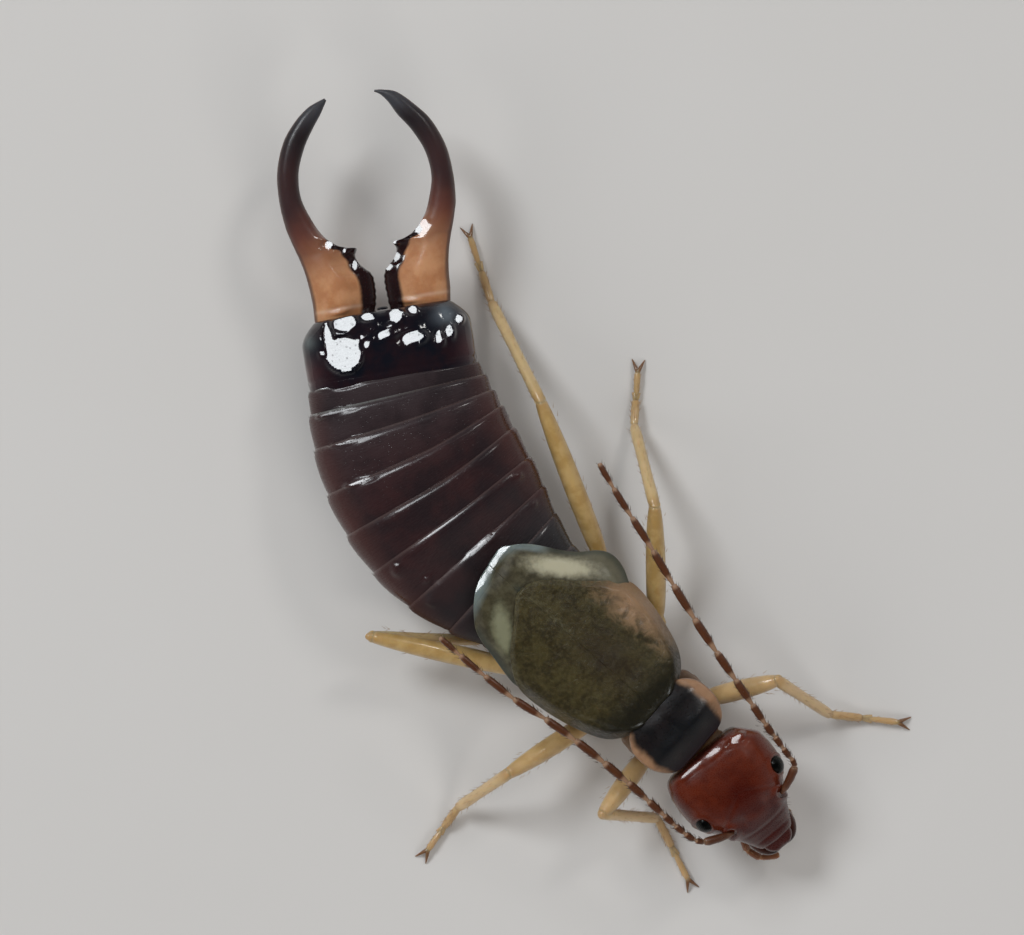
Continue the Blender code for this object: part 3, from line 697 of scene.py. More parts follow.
# Head
print("earwig: head")
headSize = dict(
    rings=(  # ahead of the neck, half width, top, waist and bottom heights
        (-0.09, 0.5, 1.66, 1.42, 1.2), (-0.075, 0.72, 1.79, 1.42, 1.08), (-0.04, 0.85, 1.875, 1.43, 1.0),
        (0.02, 0.925, 1.925, 1.44, 0.96), (0.1, 0.975, 1.955, 1.44, 0.93), (0.28, 1.025, 1.99, 1.44, 0.88),
        (0.55, 1.055, 2.01, 1.43, 0.86), (0.86, 1.035, 2.0, 1.4, 0.84), (1.13, 0.915, 1.93, 1.35, 0.82),
        (1.38, 0.74, 1.8, 1.28, 0.8), (1.62, 0.585, 1.62, 1.2, 0.79), (1.84, 0.46, 1.43, 1.12, 0.79),
        (2.02, 0.35, 1.31, 1.06, 0.84), (2.08, 0.2, 1.2, 1.05, 0.95),
    ),
    between=10,
    sides=150,
    seam=0.026,  # half width of the seams' grooves
    seamDepth=0.016,
    fork=((0.0, 0.92), (0.64, 1.26)),  # where the middle seam divides, and where its arms end
    socket=(0.585, 1.43),  # the feeler's socket: across, ahead
    socketRadius=0.125,
    eye=(0.95, 0.835, 1.56),  # ahead, across, height
    eyeRadii=(0.165, 0.195, 0.26),
    eyeIn=dict(left=0.03, right=0.0),
    dents=((-0.08, 0.06, 0.07), (0.33, 0.09, 0.06)),  # in the rear rim: across, ahead, width
    flats=(  # shining flats on the rear rim: across, back, half width and half length
        (-0.4, -0.055, 0.23, 0.05), (0.11, -0.09, 0.13, 0.045), (0.57, -0.14, 0.13, 0.06),
    ),
    lean=(0.049, -0.381),
)


def headRelief(across, ahead, height, above):
    size = headSize
    out = abs(across)
    move = 0.0
    if above:
        seam = size["seam"]
        move -= size["seamDepth"] * hill(across, 0.0, seam) * rise(ahead, 0.02, 0.1) * rise(ahead, 1.0, 0.9)
        move -= size["seamDepth"] * hill(offLine(out, ahead, *size["fork"]), 0.0, seam)
        move += 0.03 * hill(out, 0.46, 0.3) * hill(ahead, 0.52, 0.4)
        for place, rear, width in size["dents"]:
            move -= 0.02 * hill(across, place, width) * hill(ahead, rear, 0.12)
        move -= 0.045 * hill(out, 0.34, 0.13) * hill(ahead, 1.38, 0.14)
        move += 0.02 * hill(across, 0.0, 0.22) * hill(ahead, 1.5, 0.16)
        bend = 1.7 - 0.2 * across**2
        move -= 0.016 * hill(ahead, bend, 0.028) * rise(out, 0.52, 0.4)
        move -= 0.014 * hill(ahead, 1.9, 0.024) * rise(out, 0.4, 0.3)
        off = hypot(out - size["socket"][0], ahead - size["socket"][1])
        move += 0.045 * hill(off, size["socketRadius"], 0.04) - 0.05 * rise(off, 0.11, 0.04)
    else:
        move -= 0.016 * hill(out, 0.24, 0.024) * rise(ahead, 1.35, 1.2)
        move -= 0.018 * hill(ahead, 1.3, 0.03) * rise(out, 0.5, 0.4)
        move += 0.03 * hill(across, 0.0, 0.2) * hill(ahead, 1.55, 0.18)
        move -= 0.014 * hill(out, 0.6, 0.028) * hill(ahead, 0.8, 0.5)
    move -= rise(across, 0.3, 0.95) * (0.055 + 0.15 * rise(ahead, 0.34, 0.0))  # the left side is slimmer
    ahead0, across0, height0 = size["eye"]
    wide, long, tall = size["eyeRadii"]
    off = Vector(((out - across0) / wide, (ahead - ahead0) / long, (height - height0) / tall)).length
    move += 0.03 * hill(off, 1.22, 0.13)
    move += 0.006 * noise.noise(Vector((across, ahead, height)) * 5.0)
    return move


def makeHead():
    rings = []
    for ahead, half, top, waist, bottom in refine(headSize["rings"], headSize["between"]):
        power = 2.3 + 1.2 * rise(ahead, 0.9, 0.1)  # squarer to the rear
        rings.append(ovalRing(headFrame(ahead), ahead, half, top, waist, bottom, headSize["sides"], power,
                              headRelief))
    bm = closed(rings)
    pressFlats(bm, headFrame(0.0), headSize["flats"], headSize["lean"])
    finishPiece("head_skin", bm, "head", "head")

    labrum = dict(half=0.3, start=1.99, end=2.235, top=1.285, slope=0.42, thick=0.13)
    bm = newShape()

    def edges(ahead):
        t = (ahead - labrum["start"]) / (labrum["end"] - labrum["start"])
        half = labrum["half"] * (1 - 0.55 * t**3)
        return -half, half

    def top(u, ahead):
        fall = labrum["slope"] * (ahead - labrum["start"]) + 0.5 * u * u
        notch = 0.02 * hill(u, 0.0, 0.05) * rise(ahead, 2.12, 2.22)
        return labrum["top"] - fall - notch

    plate(bm, headFrame, spread(labrum["start"], labrum["end"], 16), edges, top, labrum["thick"], 0.06, 24)
    finishPiece("labrum", bm, "head", "head")


mandibleSize = dict(
    rows=(  # ahead, across, height and radius
        (1.72, 0.34, 1.0, 0.15), (1.95, 0.34, 0.97, 0.13), (2.12, 0.26, 0.95, 0.1), (2.19, 0.13, 0.93, 0.07),
        (2.2, -0.02, 0.92, 0.02),
    ),
    between=5,
    sides=16,
    flat=0.7,
    teeth=((0.035, 0.62), (0.03, 0.78)),  # height, and the share of the length
)


def makeMandible(name, side):
    size = mandibleSize
    rings = []
    rows = refine(size["rows"], size["between"])
    for i, (ahead, across, height, radius) in enumerate(rows):
        before, after = rows[max(i - 1, 0)], rows[min(i + 1, len(rows) - 1)]
        way = spot(headFrame(after[0]), side * after[1], after[2])
        way -= spot(headFrame(before[0]), side * before[1], before[2])
        way.normalize()
        out = way.cross(up).normalized()
        centre = spot(headFrame(ahead), side * across, height)
        share = i / (len(rows) - 1)
        tooth = sum(tall * hill(share, place, 0.05) for tall, place in size["teeth"])
        ring = []
        for k in range(size["sides"]):
            turn = 2 * pi * k / size["sides"]
            reach = radius + (tooth if cos(turn) * side > 0.4 else 0.0)
            point = centre + out * (cos(turn) * reach) + up * (sin(turn) * radius * size["flat"])
            ring.append((point, (turn, share, 0.0)))
        rings.append(ring)
    finishPiece(f"mandible_{name}", closed(rings), "mouth", "head")


def makeEye(name, side):
    size = headSize
    ahead, across, height = size["eye"]
    bm = newShape()
    bmesh.ops.create_icosphere(bm, subdivisions=5, radius=1.0)
    shape = Matrix.Diagonal((*size["eyeRadii"], 1.0))
    turn = Matrix.Rotation(line["headLean"], 4, "Z")
    centre = spot(headFrame(ahead), side * (across - size["eyeIn"][name]), height)
    bmesh.ops.transform(bm, matrix=Matrix.Translation(centre) @ turn @ shape, verts=bm.verts)
    finishPiece(f"eye_{name}_facets", bm, "eye", f"eye_{name}")


palpSize = dict(
    outer=dict(  # the long pair, as (across, ahead, height)
        left=((0.28, 1.36, 0.86), (0.42, 1.58, 0.56), (0.46, 1.78, 0.46), (0.38, 2.02, 0.42),
              (0.17, 2.19, 0.38)),
        right=((-0.3, 1.4, 0.86), (-0.48, 1.66, 0.56), (-0.57, 1.92, 0.46), (-0.47, 2.18, 0.42),
               (-0.18, 2.36, 0.38)),
    ),
    inner=((0.09, 1.54, 0.84), (0.18, 1.74, 0.66), (0.2, 1.9, 0.6), (0.12, 2.06, 0.56)),
    radius=0.075,
    joint=((0.0, 0.62), (0.35, 0.95), (0.85, 1.0), (0.98, 0.7)),  # shares of the length and the radius
)


def makePalps(name, side):
    bm = newShape()
    roots = []
    chance = random.Random(11 if side > 0 else 12)
    outer = palpSize["outer"][name]
    inner = [(side * across, ahead, height) for across, ahead, height in palpSize["inner"]]
    for points, scale in ((outer, 1.0), (inner, 0.8)):
        spots = [spot(headFrame(ahead), across, height) for across, ahead, height in points]
        for i in range(len(spots) - 1):
            radius = palpSize["radius"] * scale * (1.0 if i < len(spots) - 2 else 0.9)
            rows = domed([(share, grow * radius) for share, grow in palpSize["joint"]])
            limb(bm, spots[i], spots[i + 1], i, 14, rows)
            roots += hairsAlong(spots[i], spots[i + 1], chance, radius, 14, 0.07)
    finishPiece(f"palps_{name}", bm, "palp", f"palp_{name}")
    hairs(f"palp_hairs_{name}", roots, 21)


makeHead()
for name, side in bothSides:
    makeMandible(name, side)
    makeEye(name, side)
    makePalps(name, side)


# Feelers
print("earwig: feelers")
feelerSize = dict(
    paths=dict(  # across, along and height, in model millimetres
        left=((0.745, -6.725, 1.56), (1.17, -6.42, 1.84), (1.16, -6.1, 2.02), (1.09, -5.47, 2.2),
              (1.05, -4.92, 2.3), (1.01, -4.41, 2.36), (0.96, -3.76, 2.42), (0.92, -3.04, 2.45),
              (0.9, -2.3, 2.47), (0.89, -1.62, 2.5), (0.86, -0.99, 2.52), (0.84, -0.42, 2.53),
              (0.84, 0.08, 2.54)),
        right=((-0.4, -6.92, 1.56), (-0.92, -6.78, 1.84), (-1.12, -6.52, 2.02), (-1.36, -5.8, 2.22),
               (-1.5, -5.34, 2.32), (-1.69, -4.8, 2.44), (-1.9, -4.25, 2.55), (-2.22, -3.51, 2.64),
               (-2.56, -2.85, 2.69), (-2.82, -2.21, 2.71), (-3.0, -1.72, 2.71), (-3.18, -1.19, 2.71)),
    ),
    lengths=(0.56, 0.2, 0.26, 0.26, 0.3, 0.42, 0.54, 0.6, 0.7, 0.7, 0.7, 0.69, 0.6, 0.5),
    radii=(0.08, 0.06, 0.057, 0.06, 0.064, 0.069, 0.073, 0.076, 0.076, 0.074, 0.071, 0.067, 0.062, 0.055),
    joints=(  # first, second and other joints: shares of the length and the radius
        ((0.0, 0.5), (0.07, 0.62), (0.18, 0.8), (0.5, 0.95), (0.85, 1.0), (0.96, 0.8)),
        ((0.0, 0.55), (0.2, 0.85), (0.75, 0.9), (0.96, 0.6)),
        ((0.0, 0.44), (0.08, 0.56), (0.2, 0.72), (0.36, 0.94), (0.6, 1.0), (0.82, 0.98), (0.95, 0.72)),
    ),
)


def pathPoint(points, distance):
    # the point at a distance along a smooth path through points
    marks = [0.0]
    for a, b in zip(points, points[1:]):
        marks.append(marks[-1] + (b - a).length)
    place = [curve([(m, p[axis]) for m, p in zip(marks, points)], distance) for axis in range(3)]
    return Vector(place), marks[-1]


def makeFeeler(name, side):
    size = feelerSize
    points = [Vector(p) for p in size["paths"][name]]
    first = (points[1] - points[0]).length
    stretch = (pathPoint(points, 0.0)[1] - first) / sum(size["lengths"][1:])
    lengths = [first] + [length * stretch for length in size["lengths"][1:]]
    bm = newShape()
    roots = []
    chance = random.Random(5 if side > 0 else 6)
    distance = 0.0
    for i, length in enumerate(lengths):
        start = pathPoint(points, distance)[0]
        end = pathPoint(points, distance + length)[0]
        middle = pathPoint(points, distance + length / 2)[0]
        distance += length
        radius = size["radii"][i]
        rows = domed([(share, grow * radius) for share, grow in size["joints"][min(i, 2)]])
        limb(bm, start, end, i, 16, rows, bow=(middle - (start + end) / 2) * 2)
        roots += hairsAlong(start, end, chance, radius, 10 if i < 2 else 34, 0.085, 0.62)
    finishPiece(f"feeler_{name}", bm, "feeler", f"antenna_{name}")
    hairs(f"feeler_hairs_{name}", roots, 31, "darkHair")


for name, side in bothSides:
    makeFeeler(name, side)


# Neck and thorax
print("earwig: thorax")
thoraxSize = dict(
    rings=(  # behind the neck, half width, top, waist and bottom heights
        (0.02, 0.46, 1.56, 1.4, 1.2), (0.27, 0.48, 1.6, 1.4, 1.14), (0.48, 0.56, 1.64, 1.4, 1.1),
        (0.62, 0.78, 1.72, 1.38, 1.0), (0.95, 0.9, 1.84, 1.36, 0.95), (1.22, 0.88, 1.86, 1.36, 0.95),
        (1.38, 0.82, 1.78, 1.36, 0.98), (1.55, 0.97, 1.84, 1.36, 0.95), (2.25, 1.06, 1.88, 1.36, 0.93),
        (2.47, 0.98, 1.84, 1.36, 0.96), (2.65, 1.06, 1.88, 1.36, 0.93), (3.05, 1.05, 1.84, 1.36, 0.95),
        (3.35, 1.02, 1.78, 1.34, 0.95),
    ),
    between=7,
    sides=72,
    shields=((0.62, 1.22, 0.3), (1.58, 2.38, 0.48), (2.62, 3.2, 0.56)),  # from, to and half width beneath
)


def thoraxRelief(across, s, height, above):
    out = abs(across)
    move = -0.035 * hill(s, 1.38, 0.05) - 0.03 * hill(s, 2.47, 0.05)
    if s < 0.5:
        move += 0.016 * sin(s * 52.0)
    if not above:
        for start, end, half in thoraxSize["shields"]:
            wide = half * (0.75 + 0.25 * cos(2.2 * (s - start)))
            ends = rise(s, start, start + 0.06) * rise(s, end, end - 0.06)
            move += 0.045 * rise(out, wide + 0.03, wide - 0.03) * ends
    else:
        move -= 0.02 * hill(out, 0.98, 0.05)
    slant = height + 0.45 * (s % 1.0)
    move -= 0.02 * hill(slant, 1.42, 0.03) * rise(out, 0.7, 0.85)
    return move + 0.01 * noise.noise(Vector((across, s, height)) * 4.0)


def makeThorax():
    rings = []
    for s, half, top, waist, bottom in refine(thoraxSize["rings"], thoraxSize["between"]):
        rings.append(ovalRing(bodyFrame(s), s, half, top, waist, bottom, thoraxSize["sides"],
                              relief=thoraxRelief))
    finishPiece("thorax_shell", closed(rings), "thorax", "thorax")


pronotumSize = dict(
    outline=((0.15, 0.44), (0.18, 0.57), (0.25, 0.69), (0.37, 0.79), (0.55, 0.87), (0.78, 0.9),
             (1.0, 0.875), (1.16, 0.79), (1.31, 0.63), (1.41, 0.44), (1.47, 0.24)),
    rim=2.17,
    dome=0.19,
    thick=0.12,
)


def makePronotum():
    size = pronotumSize
    bm = newShape()
    along = spread(size["outline"][0][0], size["outline"][-1][0], 64, 0.75)

    def edges(s):
        half = curve(size["outline"], s)
        return -half, half

    def top(u, s):
        out = abs(u)
        height = size["rim"] + size["dome"] * (1 - min(out / 0.95, 1.0) ** 2.4)
        height -= 0.3 * (1 - rise(s, 0.1, 0.62)) + 0.09 * rise(s, 0.95, 1.5)
        height += 0.03 * hill(out, 0.34, 0.2) * hill(s, 0.58, 0.2)
        height -= 0.012 * hill(u, 0.0, 0.05) * rise(s, 0.28, 0.42) * rise(s, 1.1, 0.95)
        height -= 0.012 * hill(out, 0.72, 0.07) * rise(s, 0.25, 0.45) * rise(s, 1.25, 1.05)
        height += 0.022 * rise(out, 0.8, 0.92) * rise(s, 0.25, 0.45)
        return height + 0.008 * noise.noise(Vector((u, s, 0.0)) * 4.0)

    plate(bm, bodyFrame, along, edges, top, size["thick"], 0.05, 84)
    finishPiece("pronotum_plate", bm, "pronotum", "pronotum")


wingSize = dict(
    crown=2.43,
    drop=0.36,
    half=1.45,
    thick=0.045,
    case=dict(
        left=((1.22, 0.6), (1.36, 0.84), (1.55, 1.02), (1.8, 1.15), (2.3, 1.31), (2.8, 1.41),
              (3.08, 1.4), (3.28, 1.27), (3.48, 1.08), (3.68, 0.9), (3.88, 0.74), (4.06, 0.6),
              (4.22, 0.46), (4.36, 0.3), (4.45, 0.14)),
        right=((1.22, 0.6), (1.36, 0.84), (1.55, 1.02), (1.8, 1.14), (2.3, 1.29), (2.8, 1.37),
               (3.2, 1.38), (3.45, 1.3), (3.65, 1.17), (3.84, 1.0), (4.0, 0.78), (4.14, 0.56),
               (4.3, 0.36), (4.42, 0.2), (4.47, 0.1)),
    ),
    folded=dict(
        left=((3.05, 1.36), (3.3, 1.5), (3.54, 1.56), (3.74, 1.53), (3.92, 1.41), (4.12, 1.2),
              (4.35, 1.03), (4.58, 0.9), (4.78, 0.77), (4.96, 0.62), (5.08, 0.48), (5.17, 0.36),
              (5.21, 0.25)),
        right=((3.05, -1.26), (3.4, -1.36), (3.7, -1.32), (4.0, -1.25), (4.3, -1.19), (4.56, -1.1),
               (4.78, -0.95), (4.95, -0.78), (5.07, -0.62), (5.15, -0.47), (5.2, -0.32)),
    ),
    overlap=dict(left=0.06, right=0.02),  # how far each folded wing reaches past the middle
    rim=0.15,  # width of the folded wings' sloping hind rim
    rimSlope=0.384,
    slant=0.2,  # the rim lies further back on the left
)


def wingHeight(u):
    return wingSize["crown"] - wingSize["drop"] * (u / wingSize["half"]) ** 2


def makeWingCase(name, side):
    size = wingSize
    bm = newShape()
    rows = size["case"][name]
    along = spread(rows[0][0], rows[-1][0], 100, 0.4)
    inner = -0.035 if side > 0 else -0.055  # the left case lies over the right one

    def edges(s):
        return side * inner, side * curve(rows, s)

    def top(u, s):
        outer = curve(rows, s)
        out = abs(u)
        height = wingHeight(u) - 0.07 * rise(s, 1.6, 1.3)
        height -= 0.34 * rise(out, outer - 0.2, outer + 0.06) * rise(s, 3.5, 3.0)
        height += 0.02 * hill(out, outer - 0.24, 0.06) * rise(s, 3.4, 2.9)
        height -= 0.04 * rise(out, outer - 0.14, outer) * rise(s, 3.0, 3.5)
        height += 0.007 * side * hill(u, 0.0, 0.1) - 0.01 * hill(u, 0.0, 0.22)
        height += 0.016 * noise.noise(Vector((u, s, 0.0)) * 3.2)
        height += 0.007 * noise.noise(Vector((u, s, 3.0)) * 9.0)
        return height - 0.012

    plate(bm, bodyFrame, along, edges, top, size["thick"], 0.025, 64)
    finishPiece(f"wing_case_{name}", bm, "wing", f"tegmen_{name}")


def makeFoldedWing(name, side):
    size = wingSize
    rows = size["folded"][name]
    bm = newShape()
    along = spread(rows[0][0], rows[-1][0], 90, 0.5)

    def edges(s):
        return -side * size["overlap"][name], curve(rows, s)

    def top(u, s):
        outer = abs(curve(rows, s))
        out = abs(u)
        end = rise(s, 4.75, 5.05)
        height = wingHeight(u * (1 - 0.8 * end)) - 0.1
        height += 0.008 if side > 0 else 0.0
        height -= 0.16 * (1 - end) * rise(out, outer - 0.26, outer + 0.04) + 0.05 * end
        past = max(s - rows[-1][0] + size["rim"], 0.0)
        height -= size["rimSlope"] * past**2 / (past + 0.02)
        return height + 0.006 * noise.noise(Vector((u, s, 5.0)) * 4.0)

    plate(bm, bodyFrame, along, edges, top, 0.06, 0.015, 64)
    layer = bm.verts.layers.float_vector["place"]
    for vert in bm.verts:
        u, s = vert[layer][:2]
        vert.co += bodyFrame(s)[1] * (size["slant"] * min(max(u, -0.35), 0.28) * rise(s, 4.5, 5.1))
    finishPiece(f"folded_wing_{name}", bm, "hindWing", f"squama_{name}")


makeThorax()
makePronotum()
for name, side in bothSides:
    makeWingCase(name, side)
    makeFoldedWing(name, side)


# Abdomen
print("earwig: abdomen")
abdomenSize = dict(
    start=3.3,
    lengths=(1.0, 0.62, 0.66, 0.69, 0.635, 0.635, 0.66, 0.49, 0.34),
    skew=(0.36, 7.2, 0.85),  # the plates' hind edges reach back on the left: most, where, and how wide
    half=((3.3, 1.02), (4.3, 1.26), (5.0, 1.5), (5.9, 1.74), (6.9, 1.82), (7.7, 1.79), (8.5, 1.68),
          (9.1, 1.54)),
    top=((3.3, 1.64), (4.2, 1.8), (4.9, 1.94), (5.3, 1.98), (5.7, 2.08), (6.2, 2.27), (6.9, 2.36),
         (7.7, 2.33), (9.1, 2.12)),
    bottom=((3.3, 0.96), (4.3, 0.84), (6.5, 0.74), (8.2, 0.78), (9.1, 0.9)),
    waist=((3.3, 1.28), (5.0, 1.32), (6.2, 1.45), (9.1, 1.45)),
    power=2.3,  # 2 is an oval, more is squarer
    roof=(-24, 204),  # degrees that a tergite covers, from the left side over the top
    floor=(200, 340),
    thick=0.03,
    # share along a plate and its height: tucked front, flat middle and a hind edge that rolls over
    section=((-0.12, -0.075), (0.03, -0.07), (0.2, -0.048), (0.4, -0.024), (0.6, -0.004), (0.8, 0.01),
             (0.85, 0.0064), (0.9, -0.005), (0.95, -0.0245), (0.98, -0.041), (1.0, -0.056)),
    glands=((2, 0.5), (3, 0.5)),  # plates with a gland fold on each side, and its size
    glandTurn=radians(41),
    flats=(  # shining flats, from the last tergite's rear edge: across, along, half width and half length
        (-0.49, -4.58, 0.06, 0.05), (-0.01, -4.9, 0.06, 0.05), (0.49, -4.84, 0.035, 0.035),
        (0.17, -5.05, 0.035, 0.035), (-0.98, -1.245, 0.3, 0.04), (-1.28, -1.215, 0.16, 0.04, 1),
        (-1.0, -1.68, 0.15, 0.03), (-1.2, -1.695, 0.15, 0.03, 1), (-1.38, -1.71, 0.12, 0.03, 1),
        (-0.82, -2.245, 0.12, 0.03), (-0.98, -2.262, 0.12, 0.03, 1), (-1.14, -2.278, 0.12, 0.03, 1),
        (-0.8, -2.985, 0.1, 0.03), (-0.94, -3.008, 0.1, 0.03, 1), (-1.06, -3.03, 0.08, 0.03, 1),
        (0.8, -4.64, 0.07, 0.04), (0.92, -4.57, 0.07, 0.04), (1.04, -4.49, 0.07, 0.04),
        (1.16, -4.41, 0.07, 0.04), (1.28, -4.33, 0.06, 0.04),
    ),
)


def bodyPoint(s, turn, lift):
    # a point of the abdomen's outside, and how far across and up it is
    size = abdomenSize
    half, waist = curve(size["half"], s), curve(size["waist"], s)
    across = half * rounded(cos(turn), 2 / size["power"])
    rising = rounded(sin(turn), 2 / size["power"])
    reach = curve(size["top"], s) - waist if rising > 0 else waist - curve(size["bottom"], s)
    height = waist + reach * rising
    out = Vector((across / half**2, 0.0, (height - waist) / 0.85**2)).normalized()
    across += out.x * lift
    height += out.z * lift
    return spot(bodyFrame(s), across, height), across, height


def bentPlate(bm, number, begin, length, angles, count, section, gland=0.0):
    # one curved body plate, outside and inside
    size = abdomenSize
    rows = []
    for (share0, lift0), (share1, lift1) in zip(section, section[1:]):
        steps = 4 if share1 - share0 > 0.1 else 2
        for k in range(steps):
            rows.append((share0 + (share1 - share0) * k / steps, lift0 + (lift1 - lift0) * k / steps))
    rows.append(section[-1])
    rings = []
    first, last = (radians(a) for a in angles)
    for share, base in rows:
        s = begin + share * length
        over, under = [], []
        for turn in spread(first, last, count, 0.25):
            lift = base * (1 - 0.45 * abs(cos(turn)) ** 2)  # the steps are lower at the sides
            if gland:
                for side in (size["glandTurn"], pi - size["glandTurn"]):
                    lift += 0.1 * gland * hill(turn, side, 0.07) * hill(share, 0.72, 0.12)
            lift -= 0.02 * (1 - min(min(turn - first, last - turn) / 0.05, 1.0))
            lift += 0.01 * noise.noise(Vector((turn * 1.6, s * 2.0, number)))
            most, place, width = size["skew"]
            here = s + most * hill(s, place, width) * max(cos(turn), 0.0) ** 1.5
            mark = number + min(max(share, 0.0), 0.999)
            point, across, height = bodyPoint(here, turn, lift)
            over.append((point, (across, mark, height)))
            point, across, height = bodyPoint(here, turn, lift - size["thick"])
            under.append((point, (across, mark, height)))
        rings.append(over + under[::-1])
    loft(bm, rings)


def makeAbdomen():
    size = abdomenSize
    rings = []
    end = size["start"] + sum(size["lengths"])
    for s in spread(size["start"] - 0.12, end + 0.28, 70, 0.0):
        ring = [bodyPoint(s, 2 * pi * (k + 0.5) / 64, -0.11) for k in range(64)]
        rings.append([(point, (across, s, height)) for point, across, height in ring])
    finishPiece("abdomen_skin", closed(rings), "skin", "abdomen")

    top, under = newShape(), newShape()
    begin = size["start"]
    glands = dict(size["glands"])
    for number, length in enumerate(size["lengths"]):
        bentPlate(top, number, begin, length, size["roof"], 110, size["section"], glands.get(number, 0.0))
        flat = [(share, lift - 0.036) for share, lift in size["section"]]
        if number > 0:
            bentPlate(under, number, begin, length, size["floor"], 60, flat)
        begin += length
    pressFlats(top, bodyFrame(line["tailEnd"]), size["flats"], lastSize["lean"])
    finishPiece("tergites", top, "tergite", "abdomen")
    finishPiece("sternites", under, "sternite", "abdomen")


lastSize = dict(
    rings=(  # behind the neck, half width, top and bottom heights
        (8.86, 1.44, 2.04, 0.96), (8.93, 1.5, 2.09, 0.93), (9.1, 1.54, 2.125, 0.9),
        (9.35, 1.545, 2.135, 0.89), (9.7, 1.545, 2.13, 0.9), (9.86, 1.53, 2.12, 0.91),
        (9.97, 1.48, 2.105, 0.93), (10.08, 1.39, 2.07, 0.97), (10.15, 1.32, 2.02, 1.02),
        (10.21, 1.25, 1.94, 1.08), (10.24, 1.17, 1.8, 1.16), (10.25, 0.9, 1.6, 1.3),
    ),
    between=8,
    sides=300,
    waist=1.45,
    hollows=(  # in its top: across, along from its rear edge, radius, depth
        (-0.5, -0.38, 0.13, 0.05), (0.0, -0.26, 0.09, 0.045), (0.33, -0.38, 0.1, 0.04),
        (0.8, -0.36, 0.15, 0.06), (1.2, -0.3, 0.09, 0.045), (-0.93, -0.14, 0.07, 0.035),
    ),
    flats=(  # shining flats between them: across, along, half width and half length
        (-0.8, -0.7, 0.36, 0.34), (-1.03, -0.38, 0.085, 0.27, 1), (-0.69, -0.13, 0.23, 0.16),
        (-0.27, -0.09, 0.13, 0.08), (0.23, -0.15, 0.15, 0.14), (0.55, -0.1, 0.09, 0.08),
        (-0.03, -0.47, 0.15, 0.085), (0.47, -0.61, 0.24, 0.13), (0.94, -0.67, 0.09, 0.135),
        (1.13, -0.6, 0.09, 0.12), (1.34, -0.4, 0.08, 0.08), (-1.19, -0.62, 0.055, 0.055),
        (-0.37, -0.6, 0.07, 0.08),
    ),
    lean=(0.234, -0.305),  # how the flats slope to the left and to the rear
)


def lastRelief(across, s, height, above):
    along = s - line["tailEnd"]
    move = 0.006 * noise.noise(Vector((across, s, height)) * 5.0)
    if above:
        fade = rise(height, 1.5, 1.75)
        for u, v, radius, deep in lastSize["hollows"]:
            move -= fade * deep * exp(-((across - u) ** 2 + (along - v) ** 2) / radius**2)
        move -= 0.025 * hill(across, 0.0, 0.04) * rise(along, -1.0, -0.7) * rise(along, -0.05, -0.2)
        move -= 0.02 * hill(along, -1.12, 0.035)
    else:
        move -= 0.02 * hill(abs(across), 0.75, 0.05)
    return move


def makeLastTergite():
    size = lastSize
    rings = []
    for s, half, top, bottom in refine(size["rings"], size["between"]):
        rings.append(ovalRing(bodyFrame(s), s, half, top, size["waist"], bottom, size["sides"], 2.7,
                              lastRelief))
    bm = closed(rings)
    pressFlats(bm, bodyFrame(line["tailEnd"]), size["flats"], size["lean"])
    finishPiece("last_tergite_shell", bm, "dark", "last_tergite")

    knob = dict(half=0.11, rise=0.11, height=1.3)
    rear = bodyFrame(line["tailEnd"])
    rings = []
    for along, grow in ((-0.2, 1.0), (0.0, 1.0), (0.02, 0.92), (0.03, 0.97), (0.05, 0.85), (0.06, 0.5)):
        at = (spot(rear, 0.0, 0.0, along), rear[1], rear[2])
        reach = knob["rise"] * grow
        rings.append(ovalRing(at, along, knob["half"] * grow, knob["height"] + reach, knob["height"],
                              knob["height"] - reach, 32, 2.6))
    finishPiece("pygidium", closed(rings), "dark", "last_tergite")


